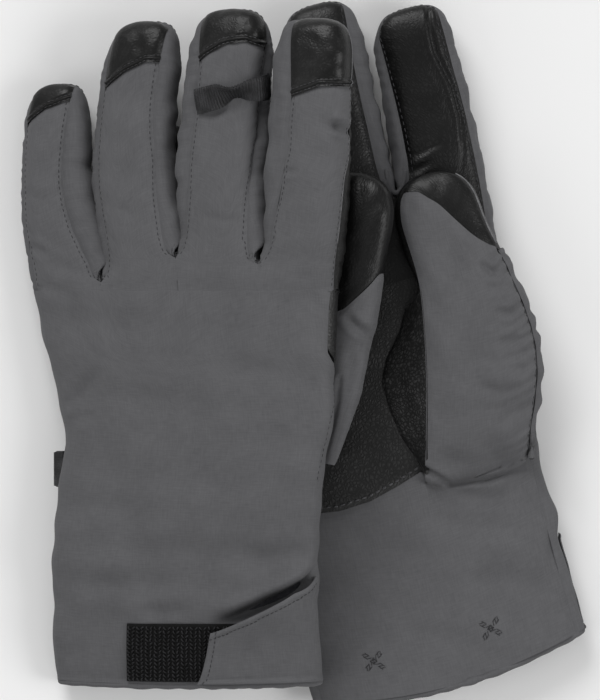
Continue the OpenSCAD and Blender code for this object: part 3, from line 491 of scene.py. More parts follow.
# Nylon softshell cloth: matt, a tight plain weave as fine noise drawn along both thread directions, soft mottling.
# The real threads are 0.25 mm apart, too fine for the render, so they are drawn 0.6 mm apart.
def nylonShell(name, dark, light):
    finish = {"threadMm": 0.6, "runMm": 5.0, "mottleMm": 11.0, "rough": 0.8}
    material, tree, shader = newMaterial(name)
    uv = addNode(tree, "ShaderNodeUVMap", uv_map="clothMap").outputs["UV"]
    fine, run = 1 / finish["threadMm"], 1 / finish["runMm"]
    warp = addNode(tree, "ShaderNodeMapping", {"Vector": uv, "Scale": (fine, run, 1.0)}).outputs["Vector"]
    weft = addNode(tree, "ShaderNodeMapping", {"Vector": uv, "Scale": (run, fine, 1.0)}).outputs["Vector"]
    warp = addNode(tree, "ShaderNodeTexNoise", {"Vector": warp, "Scale": 1.0, "Detail": 1.0}).outputs["Fac"]
    weft = addNode(tree, "ShaderNodeTexNoise", {"Vector": weft, "Scale": 1.0, "Detail": 1.0}).outputs["Fac"]
    weave = addNode(tree, "ShaderNodeMath", {0: warp, 1: weft}, operation="ADD").outputs[0]
    mottle = addNode(tree, "ShaderNodeTexNoise", {"Vector": uv, "Scale": 1 / finish["mottleMm"], "Detail": 3.0})
    mottle = mottle.outputs["Fac"]
    tone = addNode(tree, "ShaderNodeMath", {0: weave, 1: mottle}, operation="ADD").outputs[0]
    tone = addNode(tree, "ShaderNodeMapRange", {"Value": tone, "From Min": 0.9, "From Max": 2.1}).outputs["Result"]
    colour = addNode(tree, "ShaderNodeMix", {0: tone, 6: hexColour(dark), 7: hexColour(light)},
                     data_type="RGBA").outputs[2]
    bump = addNode(tree, "ShaderNodeBump", {"Height": weave, "Strength": 0.25, "Distance": 0.0002}).outputs["Normal"]
    tree.links.new(colour, shader.inputs["Base Color"])
    tree.links.new(bump, shader.inputs["Normal"])
    shader.inputs["Roughness"].default_value = finish["rough"]
    shader.inputs["Specular IOR Level"].default_value = 0.2
    shader.inputs["Sheen Weight"].default_value = 0.04
    shader.inputs["Sheen Roughness"].default_value = 0.5
    return material


# Goat leather: drum-dyed black, pebbled grain of cells about 1 mm across, semi-gloss with rubbed high spots
def goatLeather(name, relief, gloss, dark, light):
    finish = {"grainMm": 1.5, "poreMm": 0.5, "rough": (0.33, 0.46)}
    material, tree, shader = newMaterial(name)
    uv = addNode(tree, "ShaderNodeUVMap", uv_map="clothMap").outputs["UV"]
    warpNoise = addNode(tree, "ShaderNodeTexNoise", {"Vector": uv, "Scale": 0.5, "Detail": 2.0}).outputs["Color"]
    bent = addNode(tree, "ShaderNodeVectorMath", {0: warpNoise, 1: (0.9, 0.9, 0.0), 2: uv},
                   operation="MULTIPLY_ADD").outputs[0]
    cells = addNode(tree, "ShaderNodeTexVoronoi", {"Vector": bent, "Scale": 1 / finish["grainMm"]},
                    feature="DISTANCE_TO_EDGE").outputs["Distance"]
    pebble = addNode(tree, "ShaderNodeMapRange", {"Value": cells, "From Min": 0.0, "From Max": 0.4},
                     interpolation_type="SMOOTHSTEP").outputs["Result"]
    pore = addNode(tree, "ShaderNodeTexNoise", {"Vector": uv, "Scale": 1 / finish["poreMm"], "Detail": 2.0})
    pore = pore.outputs["Fac"]
    wear = addNode(tree, "ShaderNodeTexNoise", {"Vector": uv, "Scale": 0.06, "Detail": 3.0}).outputs["Fac"]
    height = addNode(tree, "ShaderNodeMath", {0: pore, 1: 0.25, 2: pebble}, operation="MULTIPLY_ADD").outputs[0]
    bump = addNode(tree, "ShaderNodeBump", {"Height": height, "Strength": relief, "Distance": 0.00022})
    bump = bump.outputs["Normal"]
    tone = addNode(tree, "ShaderNodeMath", {0: pebble, 1: wear}, operation="MULTIPLY").outputs[0]
    colour = addNode(tree, "ShaderNodeMix", {0: tone, 6: hexColour(dark), 7: hexColour(light)},
                     data_type="RGBA").outputs[2]
    smoothest, dullest = finish["rough"]
    rough = addNode(tree, "ShaderNodeMapRange", {"Value": wear, "From Min": 0.3, "From Max": 0.7, "To Min": smoothest,
                                                 "To Max": dullest}).outputs["Result"]
    tree.links.new(colour, shader.inputs["Base Color"])
    tree.links.new(rough, shader.inputs["Roughness"])
    tree.links.new(bump, shader.inputs["Normal"])
    shader.inputs["Specular IOR Level"].default_value = gloss
    return material


# Polyester webbing and pile: dull, uneven in tone, with fibres as fine noise
def fibreMaterial(name, dark, light, grainMm, rough, strength=0.5):
    material, tree, shader = newMaterial(name)
    place = addNode(tree, "ShaderNodeTexCoord").outputs["Object"]
    perMetre = 1000 / grainMm
    noise = addNode(tree, "ShaderNodeTexNoise", {"Vector": place, "Scale": perMetre, "Detail": 3.0}).outputs["Fac"]
    wide = addNode(tree, "ShaderNodeTexNoise", {"Vector": place, "Scale": perMetre / 9, "Detail": 2.0}).outputs["Fac"]
    tone = addNode(tree, "ShaderNodeMath", {0: noise, 1: wide}, operation="MULTIPLY").outputs[0]
    tone = addNode(tree, "ShaderNodeMapRange", {"Value": tone, "From Min": 0.1, "From Max": 0.45}).outputs["Result"]
    colour = addNode(tree, "ShaderNodeMix", {0: tone, 6: hexColour(dark), 7: hexColour(light)},
                     data_type="RGBA").outputs[2]
    bump = addNode(tree, "ShaderNodeBump", {"Height": noise, "Strength": strength, "Distance": 0.0003})
    bump = bump.outputs["Normal"]
    tree.links.new(colour, shader.inputs["Base Color"])
    tree.links.new(bump, shader.inputs["Normal"])
    shader.inputs["Roughness"].default_value = rough
    shader.inputs["Specular IOR Level"].default_value = 0.25
    return material


shellCloth = nylonShell("nylonSoftshell", "#4C4C4E", "#59595B")
# the same cloth a little darker for the finger walls and the fork fold: painted shade on their sideways faces
shadedWallCloth = nylonShell("nylonSoftshellWallPaintedShade", "#4A4A4C", "#565658")
leather = goatLeather("goatLeather", 0.24, 0.28, "#090909", "#1B1B1B")
palmLeather = goatLeather("goatLeatherPalm", 0.36, 0.36, "#0E0E0E", "#2E2E2E")
# the palm leather made lighter for the gusset: painted light where the thumb shades it
paintedLightGussetLeather = goatLeather("goatLeatherGussetPaintedLight", 0.36, 0.36, "#1C1C1C", "#484848")
webbing = fibreMaterial("polyesterWebbing", "#121213", "#38383A", 0.5, 0.5)
loopPile = fibreMaterial("nylonLoopPile", "#0D0D0E", "#2B2B2D", 0.4, 0.6)
loopGround = fibreMaterial("nylonLoopGround", "#050505", "#0D0D0E", 0.4, 0.9)
hookTape = fibreMaterial("nylonHookTape", "#0E0E0F", "#1C1C1E", 0.4, 0.5)
fleece = fibreMaterial("brushedFleece", "#242427", "#3A3A3E", 0.9, 0.95, 0.9)
greyThread = fibreMaterial("greyThread", "#29292B", "#3C3C3E", 0.3, 0.7)
# dark thread whose lighter greys are a painted highlight on the stitches
paintedHighlightBlackThread = fibreMaterial("paintedHighlightBlackThread", "#2A2A2C", "#5C5C5E", 0.3, 0.5)
# a round welt on folded leather edges whose pale colour is a painted highlight on the fold
paintedHighlightCord = fibreMaterial("paintedHighlightEdge", "#4A4A4C", "#7C7C7E", 0.4, 0.5)
print("materials made:", len(bpy.data.materials))

# Nodes of the frame that a piece already stands for
standsFor = set()


# Makes a piece and rides it on its body, or where a bend is given bakes its place into the mesh without bending it;
# hides the parts of the nodes it stands for that no piece stood for before
def sew(name, parts, material, nodes=(), body=None, bend=None):
    piece = makePiece(name, parts, material)
    if bend:
        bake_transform(piece)
    else:
        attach(piece, body)
    known = [n for n in nodes if n not in standsFor]
    standsFor.update(known)
    if known:
        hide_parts(*known)


never = -999.0  # a level below every piece
panelSpec = {"seamWidth": 1.6, "calmWidth": 4.0, "openLength": 5.0, "tipStart": 22.0, "tipLength": 20.0,
             "pullStart": 0.8}


# A sewn panel: the limb's surface, sunk along its sewn borders, puckered by the stitches, waved and creased like cloth.
# Sinking and puckers fade off with the distance from their border, and the swell is a parabola between both sides.
def panel(side, surface, y, angle, wave=0.25, size=22.0, seams=(0.5, 0.5, 0.0, 0.0), pucker=0.0, swell=0.0, seed=1,
          creased=True, stretch=1.0, opens=(never, never), tip=999.0, beat=5.3, reach=4.5, sunk=None, tucked=None):
    s = panelSpec
    skin, core = surface(y, angle)
    normal = gridNormals(skin, core)
    gaps = borderLengths(skin)
    first, last, near, _ = gaps
    level = np.broadcast_to(y, skin.shape[:2])
    inside, move = np.ones(skin.shape[:2]), np.zeros(skin.shape[:2])
    beforeTip = 1 - smooth((level - tip + s["tipStart"]) / s["tipLength"])
    pucker = np.broadcast_to(pucker, 2)
    for k, gap in enumerate(gaps):
        if not seams[k]:
            continue
        sewn = smooth((level - opens[k]) / s["openLength"]) if k < 2 else 1.0
        move -= seams[k] * sewn * np.exp(-(gap / s["seamWidth"]) ** 2)
        inside *= 1 - sewn * np.exp(-(gap / s["calmWidth"]) ** 2)
        if k < 2 and pucker[k]:
            pull = np.sin(2 * np.pi * near / beat + 2.0 * ripple(near, 0 * near, seed + 9, 3 * beat, count=5))
            fade = np.exp(-gap / reach) * (1 - np.exp(-(gap / s["pullStart"]) ** 2))
            move += pucker[k] * sewn * beforeTip * pull * fade
    move += swell * beforeTip * np.clip(4 * first * last / np.maximum(first + last, 1e-6) ** 2, 0, 1)
    if sunk is not None:
        move -= sunk(level)
    wave = wave(level) if callable(wave) else wave
    move += wave * inside * ripple(skin[..., 0] + 0.5 * skin[..., 2], skin[..., 1], seed, size, stretch)
    if creased:
        move += creaseField(side, skin, normal)
    skin = skin + normal * move[..., None]
    if tucked is not None:
        skin = skin + unit(core - skin) * tucked(level)[..., None]
    skin = offFloor(skin)
    normal = gridNormals(skin, core)
    uv = np.stack([first - first[:, -1:] / 2, near], -1)
    return {"skin": skin, "normal": normal, "gaps": gaps, "level": level,
            "part": shellPart(skin, normal, wallThickness, uv)}


# A line on a panel at a set distance from its first or last column, or from its first or last row
def lineOn(made, border, distance, after=never):
    pick = np.abs(made["gaps"][border] - distance).argmin(1 if border < 2 else 0)
    count = np.arange(len(pick))
    at = (count, pick) if border < 2 else (pick, count)
    if after > never:
        kept = made["level"][at] > after
        at = at[0][kept], at[1][kept]
    return made["skin"][at], made["normal"][at]


# A line on a panel under a path of the photograph's pixels: the nearest upward points, smoothed by a short running mean
def traced(made, path, count=60):
    path = np.array(path, float)
    run = np.concatenate([[0], np.cumsum(np.hypot(*np.diff(path, axis=0).T))])
    at = np.linspace(0, run[-1], count)
    px, py = photoPlace(made["skin"].reshape(-1, 3))
    away = made["normal"].reshape(-1, 3)
    gap = np.hypot(px - np.interp(at, run, path[:, 0])[:, None], py - np.interp(at, run, path[:, 1])[:, None])
    pick = (gap + 1e3 * (away[:, 2] < 0.05)).argmin(1)
    bell = np.ones(7) / 7
    mean = lambda p: np.stack([np.convolve(np.pad(p[:, k], 3, mode="edge"), bell, "valid") for k in range(3)], -1)
    return mean(made["skin"].reshape(-1, 3)[pick]), mean(away[pick])


# Levels from the first to the last value, as a column of a grid
def column(values, count):
    return np.linspace(values[0], values[1], count)[:, None]


# Place of a point of a glove's own frame, in the shared frame and in metres
def placeOf(side, x, y, z):
    return tuple(toWorld(side, np.array([x, y, z])) * 0.001)


# Hands and cuffs. Angles run from the thumb side over the back to the little-finger side and on round the palm
handSpec = {
    "step": 1.0, "outerBorder": 205.0, "backCols": 140, "palmCols": 120, "underRows": 16, "sink": 0.35,
    "handSection": (58, 10.5), "cuffSection": (56, 10), "palmLevel": -18.0,
    "sideSeam": ((338, 380), (334, 404), (328, 430), (322, 456), (316, 482)),
    "thumbBorder": {"left": ((-90, 8, 26, 36, 62), (-35, -35, -24, 12, 12)), "right": ((-90, 62), (-25, -25))},
    "forksBack": ((-1, -0.49, 0.017, 0.54, 1), (60, 62.6, 72, 69.6, 60)), "forkShares": (-1, -0.55, -0.06, 0.48, 1),
    "palmEdge": ((-1.0, -0.65, -0.47, -0.24, -0.03, 0.18, 0.4, 1.0),
                 (-17.0, -19.0, -20.5, -19.8, -17.0, -13.5, -13.0, -13.0)),
}


# Height of the waves in the cloth of the back by the place along y: calm in the middle, livelier at knuckles and cuff
def clothWave(level):
    return np.interp(level, (-92, -68, -58, -40, -10, 30, 60), (0.22, 0.22, 0.75, 0.75, 0.36, 0.45, 0.45))


# Back, palm and palm side of the cuff: three panels on the trunk's surface between border angles that change along y
def makeHand(side):
    s, top, hem, body = handSpec, gloveSize["fingerStart"], lay[side]["hemAt"], side + "_glove"
    surface = lambda y, angle: trunkSurface(side, y, angle)
    border = lambda y: np.interp(y[:, 0], *s["thumbBorder"][side])
    outer = lambda rows: np.full(rows, s["outerBorder"])
    palmStart = lambda angle: np.interp(roundBox(angle)[0], *s["palmEdge"])
    sunk = lambda level: s["sink"] * smooth((level - top) / 1.2)

    # the cloth runs on a little way under the roots of the fingers, up to the forks between them
    def under(y, angle, shares, levels):
        forks = np.interp(roundBox(angle[-1:])[0], shares, levels)
        more = y[-1:] + (forks - y[-1:]) * np.linspace(0.06, 1, s["underRows"])[:, None]
        return np.concatenate([y, more]), np.concatenate([angle, np.repeat(angle[-1:], s["underRows"], 0)])

    rows = int((top - hem) / s["step"])
    y = column((hem, top), rows)
    angle = evenAngles(border(y), outer(rows), s["backCols"], *s["handSection"])
    y, angle = under(y + 0 * angle, angle, *s["forksBack"])
    back = panel(side, surface, y, angle, wave=clothWave, size=24.0, seams=(0.5, 0.5, 0, 0), seed=3, sunk=sunk,
                 creased=side == "left")
    sew(side + "Back", [back["part"]], shellCloth,
        [side + "_back_panel", side + "_side_gussets", side + "_insulation"], body)
    if side == "left":
        threads = [stitchPart(*traced(back, s["sideSeam"]), pitch=2.2, length=1.3, radius=0.17)]
        sew(side + "SideStitches", threads, greyThread, body=body)

    rows = int((top + 20) / s["step"])
    angle = evenAngles(outer(rows), 360 + border(column((s["palmLevel"], top), rows)), s["palmCols"], *s["handSection"])
    low = palmStart(angle[:1])
    forks = [level - 1 if 0 < k < 4 else top for k, level in enumerate(lay[side]["partPalm"])]
    y, angle = under(low + (top - low) * column((0, 1), rows), angle, s["forkShares"], forks)
    palm = panel(side, surface, y, angle, wave=0.07, size=20.0, seams=(0.4, 0.4, 0.5, 0), seed=7, sunk=sunk,
                 creased=False)
    sew(side + "Palm", [palm["part"]], palmLeather, [side + "_palm_panel"], body)

    rows = int((s["palmLevel"] - hem) / s["step"])
    angle = evenAngles(outer(rows), 360 + border(column((hem, s["palmLevel"]), rows)), s["palmCols"], *s["cuffSection"])
    y = hem + (palmStart(angle[-1:]) - hem) * column((0, 1), rows)
    cuff = panel(side, surface, y, angle, wave=0.5, size=28.0, seams=(0.4, 0.4, 0, 0.7), seed=11, stretch=1.6)
    sew(side + "CuffPalm", [cuff["part"]], shellCloth, [side + "_cuff_palm"], body)
    threads = [stitchPart(*lineOn(palm, 2, 1.7), pitch=2.9, length=2.0, radius=0.42)]
    sew(side + "PalmStitches", threads, paintedHighlightBlackThread, body=body)
    return back, palm, cuff


# Fingers. Seams on the back are given as shares of the half width at places along y, thumb side first
leftSeams = {
    0: {"thumb": ((63.5, 64, 65.5, 68, 74, 84, 94, 103, 115, 135),
                  (1.0, 0.88, 0.78, 0.70, 0.58, 0.47, 0.44, 0.46, 0.54, 0.62)),
        "outer": ((60, 80), (-0.86, -0.86)), "cap": ((-0.82, -0.2, 0.66), (0.78, 0.86, 0.91)), "wall": (3.5, 0.5)},
    1: {"thumb": ((73, 73.5, 75, 78, 82, 95, 105, 111, 122, 133, 150),
                  (1.0, 0.88, 0.78, 0.72, 0.70, 0.77, 0.84, 0.87, 0.80, 0.77, 0.79)),
        "outer": ((63.5, 64, 65.5, 68, 74, 84, 99, 115, 140),
                  (-1.0, -0.96, -0.91, -0.87, -0.85, -0.82, -0.85, -0.87, -0.88)),
        "cap": ((-0.76, -0.2, 0.39, 0.81), (0.73, 0.79, 0.83, 0.83)), "wall": (2.8, 1.9)},
    2: {"thumb": ((70.5, 71, 72.5, 76, 80, 90, 100, 107, 120, 158),
                  (1.0, 0.90, 0.80, 0.73, 0.72, 0.80, 0.90, 0.97, 1.0, 1.0)),
        "turn": ((120, 134, 156, 172), (0, -1, -6, -6)),
        "outer": ((73, 73.5, 75, 78, 82, 90, 103, 130, 150, 168),
                  (-1.0, -0.97, -0.94, -0.88, -0.82, -0.72, -0.58, -0.54, -0.6, -0.75)),
        "cap": ((-0.8, -0.39, 0.11, 0.66, 1.0), (0.775, 0.82, 0.86, 0.87, 0.85)), "wall": (2.7, 1.3)},
    3: {"thumb": ((60, 80), (1.0, 1.0)),
        "turn": ((60, 80, 100, 107, 113, 136, 166), (11.5, 9.5, 3.5, -1.0, -10.0, -16.0, -16.0)),
        "outer": ((70.5, 71, 72.5, 76, 82, 88, 100, 115, 126, 136, 165),
                  (-1.0, -0.95, -0.90, -0.82, -0.73, -0.64, -0.47, -0.35, -0.38, -0.37, -0.5)),
        "cap": ((-0.35, 0.45, 0.98), (0.68, 0.72, 0.72)), "wall": (0.3, 1.1)},
}
rightSeams = {
    0: {"thumb": ((64, 80), (1.0, 0.84)), "outer": ((60, 80), (-0.84, -0.84)),
        "cap": ((-1, 1), (0.84, 0.84)), "wall": (0.5, 0.5)},
    1: {"thumb": ((73, 88), (1.0, 0.84)), "outer": ((64, 80), (-1.0, -0.84)),
        "cap": ((-1, 1), (0.82, 0.82)), "wall": (0.5, 0.5)},
    2: {"thumb": ((70, 86), (1.0, 0.84)), "outer": ((73, 88), (-1.0, -0.84)),
        "cap": ((-1, 1), (0.86, 0.86)), "wall": (2.5, 1.0)},
    3: {"thumb": ((60, 80), (0.84, 0.84)), "outer": ((70, 86), (-1.0, -0.84)),
        "cap": ((-1, 1), (0.72, 0.72)), "wall": (0.5, 2.5)},
}
palmSeams = {
    "left": {i: {"thumb": ((60, 96), (0.97, 0.82)), "outer": ((60, 96), (-0.97, -0.82))} for i in range(4)},
    "right": {0: {"thumb": ((86, 96), (1.0, 0.82)), "outer": ((60, 80), (-0.84, -0.82))},
              1: {"thumb": ((92, 100), (1.0, 0.82)), "outer": ((86, 96), (-1.0, -0.82))},
              2: {"thumb": ((93, 94, 97, 104, 120, 168), (1.0, 0.88, 0.80, 0.78, 0.80, 0.77)),
                  "outer": ((92, 100), (-1.0, -0.8))},
              3: {"thumb": ((60, 84, 117, 159), (0.86, 0.86, 0.86, 0.8)),
                  "outer": ((93, 94, 97, 104, 120, 140, 163), (-1.0, -0.88, -0.80, -0.77, -0.82, -0.90, -0.95))}},
}
fingerSpec = {
    "step": 0.9, "wallSunk": 3.2, "backCols": 36, "wallCols": 26, "palmCols": 36, "capRows": 72, "capWall": 1.3,
    "nearTip": 1 - 1e-9, "seamSoft": 0.03, "knuckleBend": (62.0, 82.0), "tipBend": 11.0, "capStitches": (0.75, 2.8),
}


# A finger: panels on its surface between seams that are given as shares of the half width, widened over the domed tip
def makeFinger(side, i):
    g, s, partPalm = gloveSize, fingerSpec, lay[side]["partPalm"]
    seams, palmSeam = (leftSeams if side == "left" else rightSeams)[i], palmSeams[side][i]
    length, start, fold = g["fingerLength"][i], g["fingerStart"], g["knuckleFold"]
    tipY, name = fold + length * s["nearTip"], side + fingerNames[i].capitalize()
    cut = lambda y, angle, **k: panel(side, lambda y, angle: fingerSurface(side, i, y, angle), y, angle, **k)
    section = g["fingerWidth"][i] / 2, g["fingerHeight"][i] / 2
    between = lambda first, last, count: evenAngles(first, last, count, *section)
    drawn = lambda y: np.maximum(tipShare((y - fold) / length, length), 0.05) ** 0.85
    widen = lambda f, y: np.sign(f) * np.maximum(np.abs(f), np.minimum(np.abs(f) / drawn(y), 0.97))
    seamAt = lambda line, y: backAngle(widen(curve(y, *line, s["seamSoft"]), y))
    thumbAngle = lambda y: seamAt(seams["thumb"], y) + np.interp(y, *seams.get("turn", ((0, 1), (0, 0))))
    outerAngle = lambda y: seamAt(seams["outer"], y)
    palmThumb = lambda y: -seamAt(palmSeam["thumb"], y)
    palmOuter = lambda y: 360 - seamAt(palmSeam["outer"], y)
    capAt = lambda angle: fold + length * curve(roundBox(angle)[0], *seams["cap"])
    bare = lambda level: never if level == start else level  # the outer borders are sewn all the way

    # the place where a seam meets the slanted cap line, found by going round a few times
    def meets(angleAt):
        y = fold + 0.8 * length
        for _ in range(6):
            y = capAt(np.radians(angleAt(y)))
        return float(y)

    # the cloth back ends at the cap line, and the leather cap runs from there over the tip
    rows = int((tipY - start) / s["step"])
    ends = meets(thumbAngle), meets(outerAngle)
    t = np.linspace(0, 1, rows)
    rising = lambda k, low: low + (ends[k] - low) * t
    angle = between(thumbAngle(rising(0, start)), outerAngle(rising(1, start)), s["backCols"])
    back = cut(start + (capAt(angle[-1])[None, :] - start) * t[:, None], angle, wave=clothWave, size=24.0,
               seams=(0.5, 0.5, 0.0, 0.5), pucker=0.14, seed=3, opens=(bare(partBack[i + 1]), bare(partBack[i])))
    t = 0.5 - 0.5 * np.cos(np.pi * np.linspace(0, 1, s["capRows"]))
    rising = lambda low: low + (tipY - low) * t
    angle = between(thumbAngle(rising(ends[0])), outerAngle(rising(ends[1])), s["backCols"])
    capY = capAt(angle[0])[None, :]
    cap = cut(capY + (tipY - capY) * t[:, None], angle, wave=0.12, size=9.0, seed=30 + i, creased=False)
    # the cap's folded lip: a ridge between two grooves that hold the stitches, as bells of the distance from its edge
    bell = lambda at, wide: np.exp(-((cap["gaps"][2] - at) / wide) ** 2)
    lip = 0.25 + 0.5 * bell(1.7, 0.6) - 0.3 * bell(0.75, 0.4) - 0.35 * bell(2.8, 0.5)
    cap["skin"] = cap["skin"] + cap["normal"] * (lip * smooth((length - cap["level"] + fold) / 4))[..., None]
    cap["part"] = shellPart(cap["skin"], cap["normal"], s["capWall"])

    # below the fork a wall lies inside the hand; the fork's level runs straight from the back to the palm
    y = start + (tipY - start) * (1 - (1 - np.linspace(0, 1, rows)) ** 1.7)
    forkLevel = lambda levels: np.linspace(bare(levels[0]), bare(levels[1]), s["wallCols"])
    walls = []
    for k, (first, last, levels, sewn) in enumerate((
            (palmThumb(y), thumbAngle(y), (partPalm[i + 1], partBack[i + 1]), (0.4, 0.5, 0, 0)),
            (outerAngle(y), palmOuter(y), (partBack[i], partPalm[i]), (0.5, 0.4, 0, 0)))):
        inHand = lambda level: s["wallSunk"] * (1 - smooth((level - forkLevel(levels) + 5) / 4))
        walls.append(cut(y[:, None], between(first, last, s["wallCols"]), wave=0.3, size=10.0, seams=sewn, pucker=0.25,
                         seed=40 + 10 * k + i, swell=seams["wall"][k], tip=tipY, creased=False, tucked=inHand))
    pad = cut(y[:, None], between(palmOuter(y), 360 + palmThumb(y), s["palmCols"]), wave=0.07, size=20.0, pucker=0.08,
              seams=(0.4, 0.4, 0, 0), seed=7, opens=(bare(partPalm[i]), bare(partPalm[i + 1])))

    nodes, plural = ("left_" + fingerNames[i], "") if side == "left" else ("right_finger", "s")
    bend, body = None, side + "_glove"
    midAt = lambda along: placeOf(side, laneMid[i], along, 0.0)
    if side == "left":
        bend = ("left_glove", "left_" + fingerNames[i], *(midAt(along) for along in s["knuckleBend"]))
    elif i == 3:
        nodes, plural, middle = "right_index_tip", "", fold + 0.5 * length
        bend = ("right_glove", "right_index_tip", midAt(middle - s["tipBend"]), midAt(middle + s["tipBend"]))
    sew(name + "Back", [back["part"]], shellCloth, [nodes + "_back" + plural, nodes + "_lining" + plural], body, bend)
    hides = 1 if side == "left" and i == 3 else 0  # the left index finger is leather on its thumb side
    sew(name + "Walls", [w["part"] for w in walls[hides:]], shadedWallCloth, [nodes + "_fourchettes"], body, bend)
    sew(name + "Leather", [p["part"] for p in [cap, pad] + walls[:hides]], leather, [nodes + "_leather" + plural], body,
        bend)
    if hides:
        both = zip(lineOn(back, 0, 0.0, 78.0), lineOn(cap, 0, 0.0))
        line = [np.concatenate([low, high[4:-14]]) for low, high in both]
        # the welt's pale colour paints the highlight on the folded leather edge
        sew(name + "Welt", [weltPart(*line, 0.28)], paintedHighlightCord, body=body, bend=bend)
    threads = [stitchPart(*lineOn(back, k, 1.3, partBack[i + 1 - k] + 0.8), 2.2, 1.3, 0.17) for k in (0, 1)]
    threads += [stitchPart(*lineOn(pad, k, 1.3, partPalm[i + k] + 2), 2.6, 1.6, 0.22) for k in (0, 1)]
    sew(name + "SeamStitches", threads, greyThread, body=body, bend=bend)
    threads = [stitchPart(*lineOn(cap, 2, d), 1.8, 1.2, 0.17) for d in s["capStitches"]]
    sew(name + "CapStitches", threads, paintedHighlightBlackThread, body=body, bend=bend)


hands = {side: makeHand(side) for side in ("left", "right")}
print("hands and cuffs made")
for side in ("left", "right"):
    for i in range(4):
        makeFinger(side, i)
print("fingers made")

# Thumbs. The cloth side is turned away from the palm; the leather side faces it. Borders are angles round the thumb
thumbSpec = {
    "right": {"cap": ((-1.0, -0.86, -0.37, 0.09, 0.33, 0.66, 0.91, 1.0),
                      (0.95, 0.96, 0.95, 0.89, 0.83, 0.74, 0.71, 0.69)),
              "cloth": (216.0, 344.0), "flank": (344.0, 402.0), "hide": (42.0, 216.0)},
    "left": {"cap": ((-1.0, 0.41, 0.89, 1.0), (0.50, 0.54, 0.64, 0.68)),
             "cloth": (-42.0, 138.0), "flank": (222.0, 318.0), "hide": (138.0, 222.0)},
    "section": (22, 7), "rootDip": 4.5, "nearTip": 1 - 1e-9, "bend": (4.0, 26.0), "bendZ": -14.0,
}


# A thumb: panels on its surface; the cloth ends at a slanted cap line, and rows run closer together towards the tip
def makeThumb(side):
    g, s, o = gloveSize, thumbSpec, thumbSpec[side]
    length, nodes = g["thumbLength"], side + "_thumb_"
    cut = lambda y, angle, **k: panel(side, lambda y, angle: thumbSurface(side, y, angle), y, angle, **k)
    strip = lambda borders, count: evenAngles(*borders, count, *s["section"])
    toTip = lambda low, rows: low + (length * s["nearTip"] - low) * (1 - (1 - column((0, 1), rows)) ** 1.6)
    capAt = lambda angle: length * curve(roundBox(angle)[0], *o["cap"], 0.2)
    angle = strip(o["cloth"], 64)
    if side == "right":
        root = -s["rootDip"] * (1 - roundBox(angle)[0] ** 2)
        cloth = [cut(root + (capAt(angle) - root) * column((0, 1), 110), angle, wave=0.5, size=20.0, seed=71,
                     seams=(0.3, 1.1, 1.2, 0.5), pucker=(0.0, 0.6), reach=8.0, swell=0.8, tip=length)]
        hide = [cut(toTip(capAt(angle), 44), angle, wave=0.12, size=10.0, seams=(0.4, 0.3, 0.2, 0), seed=72)]
        angle, split = strip(o["flank"], 30), float(capAt(np.radians(o["flank"][0])))
        cloth.append(cut(column((0.0, split), 90), angle, wave=0.3, size=9.0, seams=(0.6, 0.4, 0, 0.5), pucker=0.7,
                         seed=73, swell=1.2, beat=10.5))
        hide.append(cut(toTip(split, 60), angle, wave=0.12, size=10.0, seams=(0.5, 0.4, 0, 0), seed=79))
        hide.append(cut(toTip(6.0, 120), strip(o["hide"], 60), wave=0.08, size=18.0, seams=(0.3, 0.4, 0, 0), seed=74,
                        creased=False))
    else:
        cloth = [cut(4 + (capAt(angle) - 4) * column((0, 1), 80), angle, wave=0.25, size=12.0, seams=(0.4, 0.4, 0, 0.5),
                     pucker=0.2, seed=75, swell=0.8, tip=length)]
        hide = [cut(toTip(capAt(angle), 70), angle, wave=0.12, size=11.0, seams=(0.4, 0.4, 0.3, 0), seed=76)]
        cloth.append(cut(toTip(0.0, 110), strip(o["flank"], 50), wave=0.2, size=18.0, seams=(0.4, 0.4, 0, 0), seed=77))
        hide.append(cut(toTip(0.0, 110), strip(o["hide"], 24), wave=0.08, size=18.0, seams=(0.4, 0.4, 0, 0), seed=78,
                        creased=False))
    rootAt = lambda far: placeOf(side, g["thumbRootX"], far - g["thumbBack"], s["bendZ"])
    bend = ("right_glove", "right_thumb", *(rootAt(far) for far in s["bend"])) if side == "right" else None
    sew(side + "ThumbCloth", [p["part"] for p in cloth], shellCloth, [nodes + k for k in ("back", "side", "lining")],
        "left_glove", bend)
    sew(side + "ThumbLeather", [p["part"] for p in hide], leather, [nodes + "leather"], "left_glove", bend)
    if side == "right":
        sew(side + "ThumbStitches", [stitchPart(*lineOn(cloth[0], 1, 1.2), 2.3, 1.4, 0.15)], greyThread, bend=bend)
        line, normal = lineOn(hide[0], 1, 0.0)
        # the welt's pale colour paints the highlight on the folded leather edge
        sew(side + "ThumbWelt", [weltPart(line[2:-9], normal[2:-9], 0.38)], paintedHighlightCord, bend=bend)


for side in ("left", "right"):
    makeThumb(side)
print("thumbs made")

# Leather gusset between the right palm and thumb: straight lines from a curve on the palm to one on the thumb, sagging.
# Its leather is lighter than the palm's: painted light against the shade under the thumb
gussetSpec = {
    "palm": ((-13.0, -1.4, 9, 21, 32, 40, 48), (0.18, 0.06, 0.03, 0.03, 0.11, 0.26, 0.34)), "levels": (48, -13),
    "far": (74, 1), "thumbAngle": 214.0, "lift": 0.5, "sag": 1.35, "rows": 70, "cols": 26, "wall": 1.0,
}


